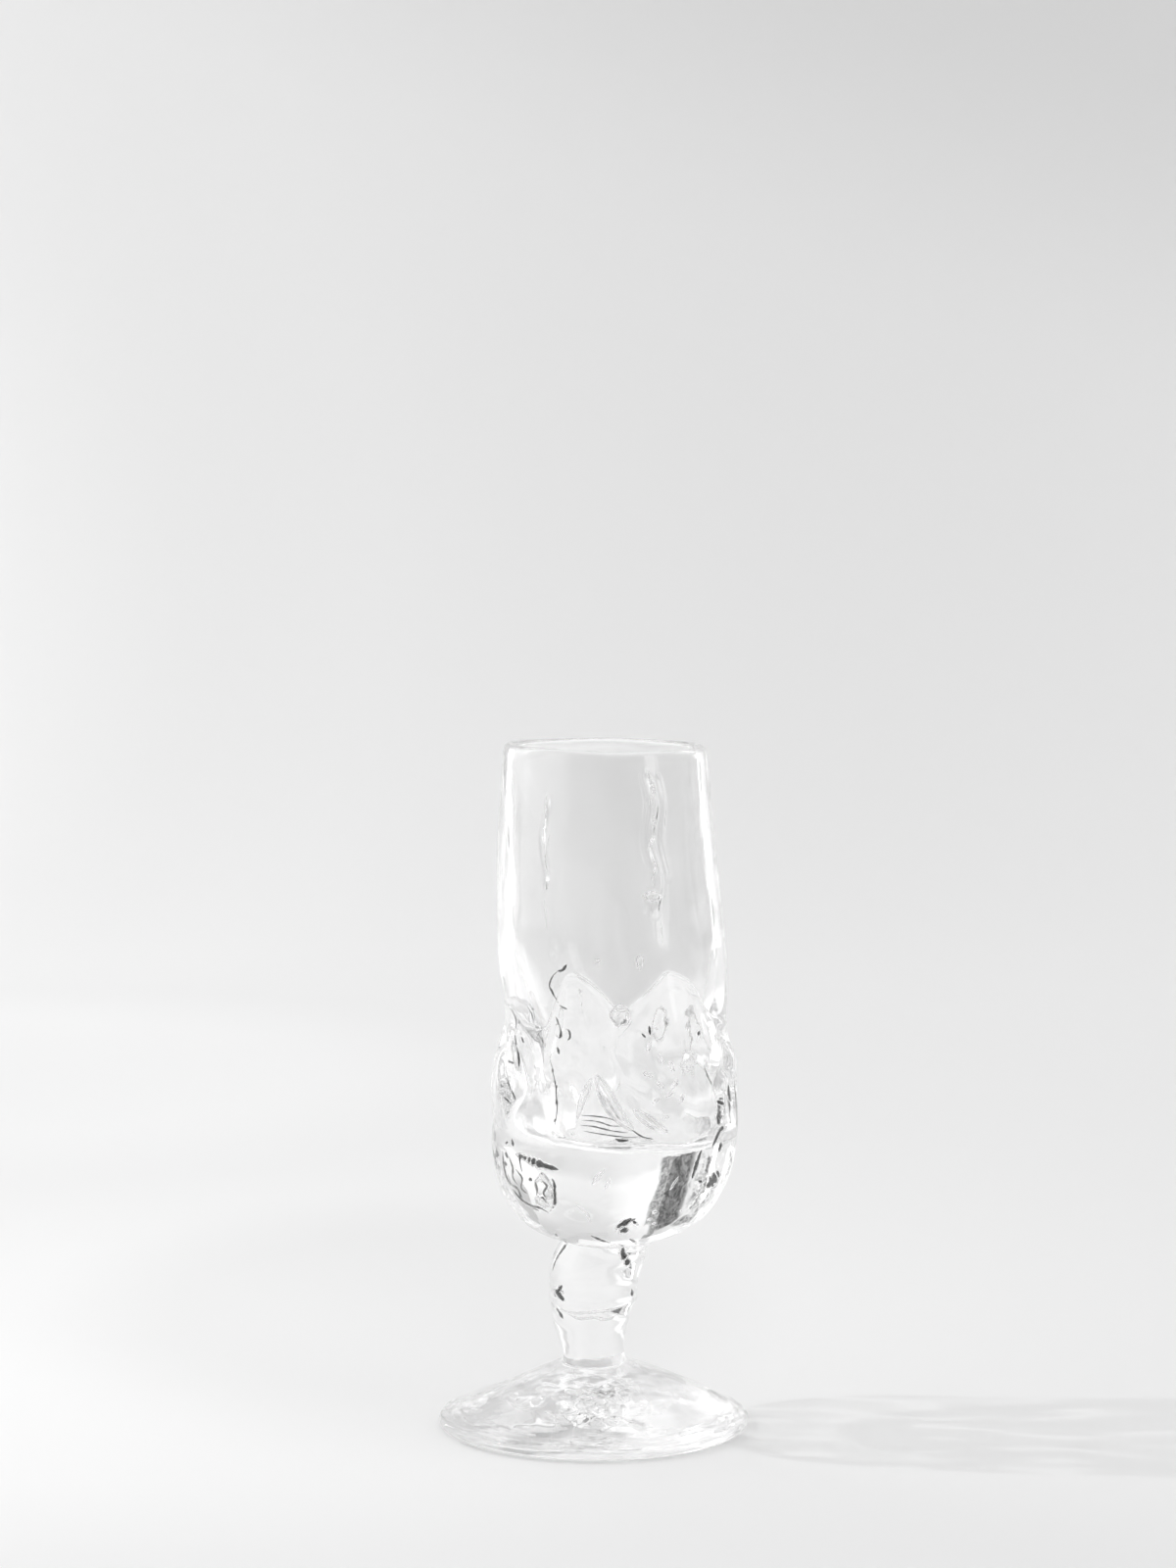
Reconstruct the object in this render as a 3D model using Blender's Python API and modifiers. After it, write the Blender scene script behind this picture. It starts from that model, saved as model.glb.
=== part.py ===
"""Hand-blown clear goblet: a cup in a lobed gather of glass, on a knopped stem and a domed foot.

Every piece is a bit of glass that the maker adds hot. Metres, +Z up. The foot's axis is the Z axis,
the foot stands on Z = 0, and the goblet is seen from -Y.
"""
import math

import bmesh
import bpy
from mathutils import Vector

# Clearance between two bits of glass that touch
FUSE_GAP = 0.0003

# Foot: a low cone with a round edge, hollowed underneath so that it stands on a ring
FOOT_RADIUS = 0.0362
FOOT_HEIGHT = 0.0150
FOOT_EDGE = 0.0030
FOOT_SEAT_RADIUS = 0.0084
FOOT_RING_WIDTH = 0.0050
FOOT_KICK = 0.0024
FOOT_CURVE = 1.08
PONTIL_RADIUS = 0.0062
PONTIL_DEPTH = 0.0006

# Stem: two knops, the upper one drawn sideways to the bowl
LOWER_KNOP_HEIGHT = 0.0130
LOWER_KNOP_OFFSET = -0.0004
LOWER_KNOP_BOTTOM_RADIUS = 0.0074
LOWER_KNOP_MIDDLE_RADIUS = 0.0085
LOWER_KNOP_TOP_RADIUS = 0.0095
UPPER_KNOP_HEIGHT = 0.0154
UPPER_KNOP_BOTTOM_RADIUS = 0.0098
UPPER_KNOP_MIDDLE_RADIUS = 0.0105
UPPER_KNOP_TOP_RADIUS = 0.0104
UPPER_KNOP_LEAN = 0.0024
KNOP_EDGE = 0.0013

# Base gather: the solid mass under the cup, thicker on the cup's left than on its right
GATHER_HEIGHT = 0.0277
GATHER_FLOOR = 0.0189
GATHER_WALL = 0.0059
GATHER_ASIDE = 0.0033
GATHER_SQUARENESS = 2.6
NOSE_RADIUS = 0.0110
NOSE_ASIDE = 0.0012

# Cup: outer radii at the rim, the belly and the root, where the wall turns in to the round bottom
CUP_HEIGHT = 0.0965
CUP_WALL = 0.0026
CUP_FLOOR = 0.0035
CUP_ROUND = 0.0085
CUP_SQUARENESS = 2.6
RIM_RADIUS = 0.0234
BELLY_RADIUS = 0.0269
BELLY_DROP = 0.0480
BELLY_CURVE = 1.5
ROOT_RADIUS = 0.0224
RIM_OFFSET = 0.0028
ROOT_OFFSET = 0.0095

# Lobes: bits of glass pressed round the cup, in order from +X, with the height of each tip
LOBE_TIPS = {
    "lobe_right": 0.0225,
    "lobe_back_right": 0.0300,
    "lobe_back_left": 0.0340,
    "lobe_left": 0.0280,
    "lobe_front_left": 0.0395,
    "lobe_front_right": 0.0370,
}
LOBE_DROP = 0.0085
LOBE_SWELL = 0.0022
LOBE_GROOVE = 0.0009
LOBE_LIP = 0.0005

# The gather is as wide as the cup's root with a wall all round it
GATHER_RADIUS = ROOT_RADIUS + FUSE_GAP + GATHER_WALL

# Heights where the pieces are stacked
LOWER_KNOP_Z = FOOT_HEIGHT + FUSE_GAP
UPPER_KNOP_Z = LOWER_KNOP_Z + LOWER_KNOP_HEIGHT + FUSE_GAP
GATHER_Z = UPPER_KNOP_Z + UPPER_KNOP_HEIGHT + FUSE_GAP
CUP_Z = GATHER_Z + GATHER_FLOOR + FUSE_GAP
LOBE_Z = GATHER_Z + GATHER_HEIGHT + FUSE_GAP

# Fineness of the facets
STEM_STEPS = 36
BOWL_STEPS = 48
FOOT_STEPS = 56
WALL_POINTS = 10
ROUND_POINTS = 7
EDGE_POINTS = 5
LOBE_CELLS = 11
MERGE_DISTANCE = 0.00001
SHARP_ANGLE = math.radians(40)

# Colour, roughness and index of refraction of the clear glass
GLASS_COLOUR = (0.93, 0.94, 0.94, 1.0)
GLASS_ROUGHNESS = 0.03
GLASS_IOR = 1.5


def mix(start, end, share):
    """The value that lies a share of the way from start to end."""
    return start + (end - start) * share


def ease(share):
    """A share from 0 to 1 that starts and ends gently."""
    return 0.5 - 0.5 * math.cos(math.pi * share)


def spread(start, end, count):
    """Evenly spaced values from start to end."""
    return [mix(start, end, step / (count - 1)) for step in range(count)]


def arc(centre, radius, start, end):
    """Points on a circle in the profile's plane, between two angles in degrees."""
    angles = [math.radians(degrees) for degrees in spread(start, end, EDGE_POINTS)]
    return [(centre[0] + radius * math.cos(a), centre[1] + radius * math.sin(a)) for a in angles]


def quarter_round(radius, top, bottom, squareness, end=math.pi / 2):
    """A squarish quarter of an ellipse, from the side at height top down towards the axis."""
    power = 2 / squareness
    depth = (top - bottom) / math.sin(end) ** power
    points = []
    for angle in spread(0, end, ROUND_POINTS):
        across = radius * max(math.cos(angle), 0) ** power
        points.append((across if angle < math.pi / 2 else 0.0, top - depth * math.sin(angle) ** power))
    return points


def clear_scene():
    for item in list(bpy.data.objects):
        bpy.data.objects.remove(item, do_unlink=True)


def new_collection(name):
    collection = bpy.data.collections.new(name)
    bpy.context.scene.collection.children.link(collection)
    return collection


def clear_glass(name):
    material = bpy.data.materials.new(name)
    material.use_nodes = True
    shader = material.node_tree.nodes["Principled BSDF"]
    shader.inputs["Base Color"].default_value = GLASS_COLOUR
    shader.inputs["Roughness"].default_value = GLASS_ROUGHNESS
    shader.inputs["Metallic"].default_value = 0.0
    shader.inputs["IOR"].default_value = GLASS_IOR
    shader.inputs["Transmission Weight"].default_value = 1.0
    return material


def add_object(name, mesh, collection, parent, height=0.0, offset=0.0):
    """Puts a mesh in the goblet at its height above the table, with its own glass."""
    mesh.shade_smooth()
    mesh.set_sharp_from_angle(angle=SHARP_ANGLE)
    mesh.materials.append(clear_glass(name + "_glass"))
    item = bpy.data.objects.new(name, mesh)
    item.location = (offset, 0, height)
    item.parent = parent
    collection.objects.link(item)
    return item


def turned_mesh(name, profile, steps, lean=None):
    """Turns a profile about Z. lean gives how far each height is then shifted along X."""
    outline = bpy.data.meshes.new(name + "_profile")
    edges = [(index, index + 1) for index in range(len(profile) - 1)]
    outline.from_pydata([(across, 0, height) for across, height in profile], edges, [])
    blank = bpy.data.objects.new(name + "_blank", outline)
    bpy.context.scene.collection.objects.link(blank)
    screw = blank.modifiers.new("turn", "SCREW")
    screw.steps = steps
    screw.render_steps = steps
    screw.use_merge_vertices = True
    screw.merge_threshold = MERGE_DISTANCE
    screw.use_normal_calculate = True
    mesh = bpy.data.meshes.new_from_object(blank.evaluated_get(bpy.context.evaluated_depsgraph_get()))
    mesh.name = name
    bpy.data.objects.remove(blank, do_unlink=True)
    if lean:
        for vertex in mesh.vertices:
            vertex.co.x += lean(vertex.co.z)
    return mesh


def foot_profile():
    edge_radius = FOOT_EDGE / 2
    edge_centre = FOOT_RADIUS - edge_radius
    ring_inside = edge_centre - FOOT_RING_WIDTH
    points = [(0.0, FOOT_HEIGHT)]
    for share in spread(0, 1, WALL_POINTS)[:-1]:
        rise = (FOOT_HEIGHT - FOOT_EDGE) * (1 - share) ** FOOT_CURVE
        points.append((mix(FOOT_SEAT_RADIUS, edge_centre, share), FOOT_EDGE + rise))
    points += arc((edge_centre, edge_radius), edge_radius, 90, -90)
    for share in spread(0, 1, EDGE_POINTS):
        points.append((mix(ring_inside, PONTIL_RADIUS, share), FOOT_KICK * ease(share)))
    scar_top = FOOT_KICK + PONTIL_DEPTH
    return points + [(PONTIL_RADIUS - PONTIL_DEPTH, scar_top), (0.0, scar_top)]


def knop_profile(height, bottom, middle, top):
    """A swelling of the stem, from its radii at the bottom, the middle and the top."""
    points = [(0.0, height)]
    points += arc((top - KNOP_EDGE, height - KNOP_EDGE), KNOP_EDGE, 90, 0)
    for share in spread(0, 1, EDGE_POINTS)[1:]:
        points.append((mix(top, middle, ease(share)), mix(height - KNOP_EDGE, height / 2, share)))
    for share in spread(0, 1, EDGE_POINTS)[1:-1]:
        points.append((mix(middle, bottom, ease(share)), mix(height / 2, KNOP_EDGE, share)))
    points += arc((bottom - KNOP_EDGE, KNOP_EDGE), KNOP_EDGE, 0, -90)
    return points + [(0.0, 0.0)]


def upper_knop_lean(height):
    """The top of the upper knop is drawn over to the nose of the gather."""
    return UPPER_KNOP_LEAN * (height / UPPER_KNOP_HEIGHT) ** 3


def gather_profile():
    nose_angle = math.acos((NOSE_RADIUS / GATHER_RADIUS) ** (GATHER_SQUARENESS / 2))
    side = quarter_round(GATHER_RADIUS, GATHER_HEIGHT, 0.0, GATHER_SQUARENESS, nose_angle)
    return [(0.0, GATHER_HEIGHT)] + side + [(0.0, 0.0)]


def gather_lean(height):
    """The gather's centre, which goes from the top of the stem over to the cup."""
    nose = UPPER_KNOP_LEAN + NOSE_ASIDE
    top = cup_lean(LOBE_Z - CUP_Z) - GATHER_ASIDE
    return mix(nose, top, height / GATHER_HEIGHT)


def cup_radius(height):
    """Outer radius of the cup at a height above its underside."""
    belly = CUP_HEIGHT - BELLY_DROP
    if height < CUP_ROUND:
        drop = (CUP_ROUND - height) / CUP_ROUND
        return ROOT_RADIUS * (1 - drop ** CUP_SQUARENESS) ** (1 / CUP_SQUARENESS)
    if height < belly:
        return mix(ROOT_RADIUS, BELLY_RADIUS, ease((height - CUP_ROUND) / (belly - CUP_ROUND)))
    return mix(BELLY_RADIUS, RIM_RADIUS, ((height - belly) / BELLY_DROP) ** BELLY_CURVE)


def cup_lean(height):
    """The cup's centre, which moves off the foot's axis towards its bottom."""
    return mix(RIM_OFFSET, ROOT_OFFSET, (1 - height / CUP_HEIGHT) ** 2)


def cup_outside(clearance=0.0):
    """The cup's outer profile, from the top of its wall to its bottom, grown by a clearance."""
    heights = spread(CUP_HEIGHT - CUP_WALL / 2, CUP_ROUND, WALL_POINTS)
    wall = [(cup_radius(height) + clearance, height) for height in heights]
    bottom = quarter_round(ROOT_RADIUS + clearance, CUP_ROUND, -clearance, CUP_SQUARENESS)
    return wall + bottom[1:]


def cup_profile():
    heights = spread(CUP_ROUND, CUP_HEIGHT - CUP_WALL / 2, WALL_POINTS)
    inside_bottom = quarter_round(ROOT_RADIUS - CUP_WALL, CUP_ROUND, CUP_FLOOR, CUP_SQUARENESS)
    inside_wall = [(cup_radius(height) - CUP_WALL, height) for height in heights]
    rim_centre = (cup_radius(heights[-1]) - CUP_WALL / 2, heights[-1])
    rim = arc(rim_centre, CUP_WALL / 2, 180, 0)
    return inside_bottom[::-1] + inside_wall[1:] + rim[1:-1] + cup_outside()


def gather_reach(angle):
    """Distance from the cup's centre to the edge of the gather's top, seen at an angle."""
    across = GATHER_ASIDE * math.sin(angle)
    return math.sqrt(GATHER_RADIUS ** 2 - across ** 2) - GATHER_ASIDE * math.cos(angle)


def lobe_thickness(angle, across, up):
    """A lobe is as thick as its seat on the gather, and thins upwards to a rounded tip."""
    seat = gather_reach(angle) - cup_radius(LOBE_Z - CUP_Z) - FUSE_GAP
    body = mix(seat, LOBE_SWELL, ease(up)) - LOBE_GROOVE * across ** 4
    nose = math.sqrt(1 - up ** 6)
    return max(body * nose, LOBE_LIP)


def lobe_point(middle, tip, across, up, outside):
    """A point on a lobe: across goes from -1 to 1 round the cup, up from 0 at its seat to 1."""
    height = LOBE_Z - CUP_Z + up * (tip - LOBE_DROP * across ** 2)
    half_width = math.pi / len(LOBE_TIPS) - FUSE_GAP / 2 / ROOT_RADIUS
    angle = middle + across * half_width
    radius = cup_radius(height) + FUSE_GAP
    if outside:
        radius += lobe_thickness(angle, across, up)
    return Vector((cup_lean(height) + radius * math.cos(angle), radius * math.sin(angle), height))


def lobe_mesh(name, middle, tip):
    """Wraps a grid round the cup and thickens it outwards into a petal."""
    build = bmesh.new()
    bmesh.ops.create_grid(build, x_segments=LOBE_CELLS, y_segments=LOBE_CELLS, size=1)
    inside = list(build.verts)
    grown = bmesh.ops.extrude_face_region(build, geom=build.faces[:], use_keep_orig=True)
    outside = [item for item in grown["geom"] if isinstance(item, bmesh.types.BMVert)]
    for layer, is_outside in ((inside, False), (outside, True)):
        for vertex in layer:
            across = vertex.co.x
            up = (vertex.co.y + 1) / 2
            vertex.co = lobe_point(middle, tip, across, up, is_outside)
    bmesh.ops.recalc_face_normals(build, faces=build.faces[:])
    mesh = bpy.data.meshes.new(name)
    build.to_mesh(mesh)
    build.free()
    return mesh


def add_stem(parts, axis):
    foot = turned_mesh("foot", foot_profile(), FOOT_STEPS)
    add_object("foot", foot, parts, axis)
    lower = knop_profile(
        LOWER_KNOP_HEIGHT, LOWER_KNOP_BOTTOM_RADIUS, LOWER_KNOP_MIDDLE_RADIUS, LOWER_KNOP_TOP_RADIUS)
    lower_mesh = turned_mesh("lower_knop", lower, STEM_STEPS)
    add_object("lower_knop", lower_mesh, parts, axis, LOWER_KNOP_Z, LOWER_KNOP_OFFSET)
    upper = knop_profile(
        UPPER_KNOP_HEIGHT, UPPER_KNOP_BOTTOM_RADIUS, UPPER_KNOP_MIDDLE_RADIUS, UPPER_KNOP_TOP_RADIUS)
    upper_mesh = turned_mesh("upper_knop", upper, STEM_STEPS, upper_knop_lean)
    add_object("upper_knop", upper_mesh, parts, axis, UPPER_KNOP_Z)


def add_base_gather(parts, cutters, axis):
    """The solid gather, with the seat of the cup's bottom cut into its top."""
    profile = [(0.0, CUP_HEIGHT)] + cup_outside(FUSE_GAP)
    seat = turned_mesh("cup_seat", profile, BOWL_STEPS, cup_lean)
    cutter = add_object("cup_seat", seat, cutters, axis, CUP_Z)
    cutter.hide_render = True
    cutter.display_type = "WIRE"
    mesh = turned_mesh("base_gather", gather_profile(), BOWL_STEPS, gather_lean)
    gather = add_object("base_gather", mesh, parts, axis, GATHER_Z)
    cut = gather.modifiers.new("cup_seat", "BOOLEAN")
    cut.operation = "DIFFERENCE"
    cut.solver = "EXACT"
    cut.object = cutter


def add_lobes(parts, axis):
    for index, (name, tip) in enumerate(LOBE_TIPS.items()):
        middle = 2 * math.pi * index / len(LOBE_TIPS)
        add_object(name, lobe_mesh(name, middle, tip), parts, axis, CUP_Z)


def main():
    clear_scene()
    parts = new_collection("goblet")
    cutters = new_collection("goblet_cutters")
    axis = bpy.data.objects.new("foot_axis", None)
    parts.objects.link(axis)
    add_stem(parts, axis)
    add_base_gather(parts, cutters, axis)
    add_object("bowl", turned_mesh("bowl", cup_profile(), BOWL_STEPS, cup_lean), parts, axis, CUP_Z)
    add_lobes(parts, axis)


main()
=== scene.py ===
"""Dresses the goblet: one skin of fused, hand-blown glass, cut into pieces where the bits of glass meet."""

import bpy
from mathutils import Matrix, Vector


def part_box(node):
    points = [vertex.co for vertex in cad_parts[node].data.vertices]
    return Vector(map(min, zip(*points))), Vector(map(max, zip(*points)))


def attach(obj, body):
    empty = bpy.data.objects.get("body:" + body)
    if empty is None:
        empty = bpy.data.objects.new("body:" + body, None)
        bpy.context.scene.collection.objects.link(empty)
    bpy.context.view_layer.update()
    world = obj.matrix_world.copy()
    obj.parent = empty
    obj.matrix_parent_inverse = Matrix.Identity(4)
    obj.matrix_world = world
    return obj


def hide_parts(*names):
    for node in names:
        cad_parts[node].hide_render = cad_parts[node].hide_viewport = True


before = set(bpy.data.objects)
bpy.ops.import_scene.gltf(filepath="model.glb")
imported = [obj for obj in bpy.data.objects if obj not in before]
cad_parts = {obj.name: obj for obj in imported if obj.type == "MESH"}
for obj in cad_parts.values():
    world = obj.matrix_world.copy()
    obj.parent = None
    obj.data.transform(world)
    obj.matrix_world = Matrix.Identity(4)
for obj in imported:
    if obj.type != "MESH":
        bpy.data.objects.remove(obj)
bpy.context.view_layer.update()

import math

import bpy
import numpy as np
from mathutils import Vector, noise

# The model's units are millimetres until a mesh is made
MM = 0.001
COLUMNS = 336


def node_box(name):
    low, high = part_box(name)
    return np.array(low) / MM, np.array(high) / MM


# Places from the frame
CUP_BOTTOM, RIM_TOP = (corner[2] for corner in node_box("bowl"))
GATHER_BOTTOM, SHOULDER = (corner[2] for corner in node_box("base_gather"))
NOSE = (GATHER_BOTTOM + node_box("upper_knop")[1][2]) / 2
RIDGE = (node_box("upper_knop")[0][2] + node_box("lower_knop")[1][2]) / 2
SEAT = (node_box("lower_knop")[0][2] + node_box("foot")[1][2]) / 2
FOOT_RADIUS = node_box("foot")[1][0]

# Cup
RIM_RADIUS = 23.4
BELLY_RADIUS = 26.6
BELLY = RIM_TOP - 48.0
BELLY_CURVE = 1.5
ROOT = CUP_BOTTOM + 8.5
ROOT_RADIUS = 22.4
RIM_OFFSET = 2.5
ROOT_OFFSET = 9.5
RIM_WALL = 2.6
BELLY_WALL = 3.6
SQUARENESS = 2.6

# Rim: how far it dips to the right and rises in front, its ripples (height, number, phase) and how far
# they go down
RIM_DIP = 0.35
RIM_LIFT = 0.4
RIM_RIPPLES = [(0.12, 2, 0.6), (0.08, 5, 0.0)]
RIM_SINK = 0.2
RIM_FADE = 30

# Gather and its nose on the stem
GATHER_RADIUS = 28.6
GATHER_ASIDE = 3.3
NOSE_RADIUS = 11.0
NOSE_OFFSET = 3.6

# Lobes: angle in degrees and height of the scalloped edge where they end on the cup, and the edge's ripples
LOBE_EDGE = [
    (0, 95), (22, 98), (58, 103), (88, 94), (122, 104), (152, 96), (180, 101), (205, 99), (222, 96.5),
    (233, 98), (240, 104), (245, 109), (251, 110.5), (258, 108.5), (264, 105), (271, 101.5), (281, 104.5),
    (297, 109.5), (312, 107), (326, 99), (342, 97.5),
]
EDGE_RIPPLES = [(0.4, 11, 0.7), (0.2, 23, 2.0)]
LOBE_NODES = [
    "lobe_right", "lobe_back_right", "lobe_back_left", "lobe_left", "lobe_front_left", "lobe_front_right",
]
LOBE_SPAN = 360 // len(LOBE_NODES)
LOBE_SWELL = 2.2
LOBE_BULGE = 0.5
LOBE_LIP = 1.3
LOBE_STEP = 0.3
LOBE_RISE = 12.0

# Seams between the lobes, and how they wander: degrees, height of a wave and turns round the goblet
SEAM_DEPTH = 0.9
SEAM_WIDTH = 4.0
SEAM_FADE = 3
SEAM_WANDERS = [(5, 5.0, 2), (3, 2.3, 5)]

# Stem: height, centre, half width and half depth of its rings, from the nose down to the foot
KNOP_RINGS = [
    (NOSE, 3.6, 11.0, 11.0), (42.4, 2.1, 10.6, 10.6), (39.5, 1.0, 10.9, 10.8),
    (34.5, -0.1, 10.45, 10.6), (31.0, -0.15, 10.3, 10.45), (29.2, -0.25, 10.1, 10.4),
    (RIDGE, -0.4, 9.6, 10.3), (27.0, -0.65, 9.25, 10.2), (25.0, -0.7, 8.95, 10.05),
    (21.5, -0.5, 8.1, 9.7), (17.0, -0.1, 7.2, 9.4), (SEAT, 0.0, 7.4, 9.2),
]

# Foot
FOOT_EDGE = 3.0
FOOT_CURVE = 1.08
FOOT_RING = 5.0
FOOT_KICK = 2.4
FOOT_FULLNESS = 1.3
PONTIL_RADIUS = 6.2
PONTIL_DEPTH = 0.6

# Rows of points down each stretch of the skin and the cavity
RIM_ROWS = 8
WALL_ROWS = 80
LOBE_ROWS = 91
LOBE_SPACING = 1.5
GATHER_ROWS = 60
UPPER_KNOP_ROWS = 50
LOWER_KNOP_ROWS = 44
DOME_ROWS = 55
FOOT_EDGE_ROWS = 16
FOOT_RING_ROWS = 4
FOOT_KICK_ROWS = 24
SCAR_ROWS = 12
CAVITY_ROWS = 110
CAVITY_FLOOR_ROWS = 30
CUP_BOTTOM_ROWS = 21
FUSED_STEP = 9


def mix(start, end, share):
    return start + (end - start) * share


def ease(share):
    return 0.5 - 0.5 * np.cos(np.pi * np.clip(share, 0, 1))


def smooth_curve(keys, values, at):
    """A smooth curve through a few points, with level ends."""
    keys = np.asarray(keys, float)
    values = np.asarray(values, float)
    slopes = np.gradient(values, keys)
    at = np.clip(at, keys[0], keys[-1])
    cell = np.clip(np.searchsorted(keys, at) - 1, 0, len(keys) - 2)
    span = keys[cell + 1] - keys[cell]
    t = (at - keys[cell]) / span
    ahead = (2 * t ** 3 - 3 * t ** 2 + 1) * values[cell] + (t ** 3 - 2 * t ** 2 + t) * span * slopes[cell]
    behind = (t ** 3 - t ** 2) * span * slopes[cell + 1]
    return ahead + (3 * t ** 2 - 2 * t ** 3) * values[cell + 1] + behind


ANGLES = np.arange(COLUMNS) * 2 * np.pi / COLUMNS
DEGREES = np.degrees(ANGLES)


def angle_between(first, second):
    """Smallest angle in degrees from one direction to another."""
    return (first - second + 180) % 360 - 180


def steps(start, end, count):
    """A column of even steps, from the first after the start up to the end."""
    return np.linspace(start, end, count + 1)[1:, None]


def ripples(waves):
    """Waves round the goblet, added up. Each has a height, a number and a phase."""
    return sum(height * np.sin(count * ANGLES + phase) for height, count, phase in waves)


def lobe_edge():
    """Height of the lobes' scalloped edge at each column."""
    before = [(angle - 360, height) for angle, height in LOBE_EDGE]
    after = [(angle + 360, height) for angle, height in LOBE_EDGE]
    keys, values = zip(*(before + LOBE_EDGE + after))
    return smooth_curve(keys, values, DEGREES) + ripples(EDGE_RIPPLES)


EDGE = lobe_edge()


def cup_radius(height):
    """Outer radius of the cup at a height."""
    height = np.asarray(height, float)
    drop = np.clip((ROOT - height) / (ROOT - CUP_BOTTOM), 0, 1)
    bottom = ROOT_RADIUS * (1 - drop ** SQUARENESS) ** (1 / SQUARENESS)
    waist = mix(ROOT_RADIUS, BELLY_RADIUS, ease((height - ROOT) / (BELLY - ROOT)))
    upper = mix(BELLY_RADIUS, RIM_RADIUS, np.clip((height - BELLY) / (RIM_TOP - BELLY), 0, 1) ** BELLY_CURVE)
    return np.where(height < ROOT, bottom, np.where(height < BELLY, waist, upper))


def cup_centre(height):
    """The cup's centre moves off the foot's axis towards its bottom."""
    share = (RIM_TOP - np.asarray(height, float)) / (RIM_TOP - CUP_BOTTOM)
    return mix(RIM_OFFSET, ROOT_OFFSET, share ** 2)


def rim_wave(height):
    """The hand-cut rim dips to the right and ripples, and the ripple fades down the wall."""
    dip = -RIM_DIP * (1 + np.cos(ANGLES)) + RIM_LIFT * (1 - np.sin(ANGLES))
    ripple = ripples(RIM_RIPPLES) - RIM_SINK
    fade = np.clip(1 - (RIM_TOP - height) / RIM_FADE, 0, 1) ** 2
    return (dip + ripple) * fade


def ring_points(centre, radius, height):
    """Points of rings round Z: arrays of rows by columns."""
    radius = np.broadcast_to(radius, np.broadcast_shapes(np.shape(radius), np.shape(height), (1, COLUMNS)))
    height = np.broadcast_to(height, radius.shape)
    centre = np.broadcast_to(centre, radius.shape)
    return np.stack([centre + radius * np.cos(ANGLES), radius * np.sin(ANGLES), height], axis=-1)


def rim_arc(side):
    """Rows of the rim's round edge from its crest down to the outer (1) or inner (-1) wall."""
    turn = np.linspace(np.pi / 2, 0, RIM_ROWS)[:, None]
    half = RIM_WALL / 2
    radius = cup_radius(RIM_TOP) - half + side * half * np.cos(turn)
    height = RIM_TOP - half + half * np.sin(turn)
    return ring_points(cup_centre(height), radius, height + rim_wave(height))


def upper_wall():
    """The cup's bare outer wall from the rim to the lobes' edge."""
    share = steps(0, 1, WALL_ROWS)
    height = mix(RIM_TOP - RIM_WALL / 2, EDGE, share)
    return ring_points(cup_centre(height), cup_radius(height), height + rim_wave(height))


def gather_reach(centre, radius):
    """Distance from a point off the centre of a circle to its edge, for each column."""
    return np.sqrt(radius ** 2 - (centre * np.sin(ANGLES)) ** 2) - centre * np.cos(ANGLES)


def lip_share(height):
    """The lobes start with a small rounded step in front, run out thin behind, and swell slowly downwards."""
    down = np.clip(EDGE - height, 0, None)
    step = np.clip(down / LOBE_LIP, 0, 1)
    front = LOBE_STEP * (1 - ease(0.5 + np.sin(ANGLES)))
    return front * np.sqrt(1 - (1 - step) ** 2) + (1 - front) * ease(down / LOBE_RISE)


LOBE_SHARES = np.linspace(0, 1, LOBE_ROWS)[:, None] ** LOBE_SPACING


def lobe_heights():
    return mix(EDGE, SHOULDER, LOBE_SHARES)


def lobe_walls():
    """The lobes' outside, from their edge on the cup to the shoulder of the gather."""
    height = lobe_heights()
    up = (height - SHOULDER) / (EDGE - SHOULDER)
    seat = gather_reach(GATHER_ASIDE, GATHER_RADIUS) - cup_radius(SHOULDER)
    wander = sum(far * np.sin(height / tall + turns * ANGLES) for far, tall, turns in SEAM_WANDERS)
    across = (DEGREES - LOBE_SPAN / 2 + wander) % LOBE_SPAN
    seam_distance = np.minimum(across, LOBE_SPAN - across)
    seam = SEAM_DEPTH * np.exp(-(seam_distance / SEAM_WIDTH) ** 2) * np.clip(up * SEAM_FADE, 0, 1)
    middles = np.cos(np.radians(len(LOBE_NODES) * DEGREES))
    bulge = LOBE_BULGE * np.sin(np.pi * np.clip(up, 0, 1)) * middles
    thickness = (mix(seat, LOBE_SWELL, ease(up)) - seam + bulge) * lip_share(height)
    return ring_points(cup_centre(height), cup_radius(height) + thickness, height)


def gather_wall():
    """The gather's round underside, from its shoulder to the nose on the stem."""
    power = 2 / SQUARENESS
    end = math.acos((NOSE_RADIUS / GATHER_RADIUS) ** (SQUARENESS / 2))
    turn = steps(0, end, GATHER_ROWS)
    depth = (SHOULDER - NOSE) / math.sin(end) ** power
    height = SHOULDER - depth * np.sin(turn) ** power
    radius = GATHER_RADIUS * np.cos(turn) ** power
    share = (height - NOSE) / (SHOULDER - NOSE)
    middle = mix(NOSE_OFFSET, cup_centre(SHOULDER) - GATHER_ASIDE, share)
    centre = mix(NOSE_OFFSET, cup_centre(SHOULDER), share)
    return ring_points(centre, gather_reach(centre - middle, radius), height)


def stem_wall(top, bottom, count):
    """A stretch of the stem between two heights."""
    height = steps(top, bottom, count)
    heights, centres, widths, depths = (np.array(column[::-1]) for column in zip(*KNOP_RINGS))
    width = smooth_curve(heights, widths, height)
    radius = mix(width, smooth_curve(heights, depths, height), np.sin(ANGLES) ** 2)
    return ring_points(smooth_curve(heights, centres, height), radius, height)


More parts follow.
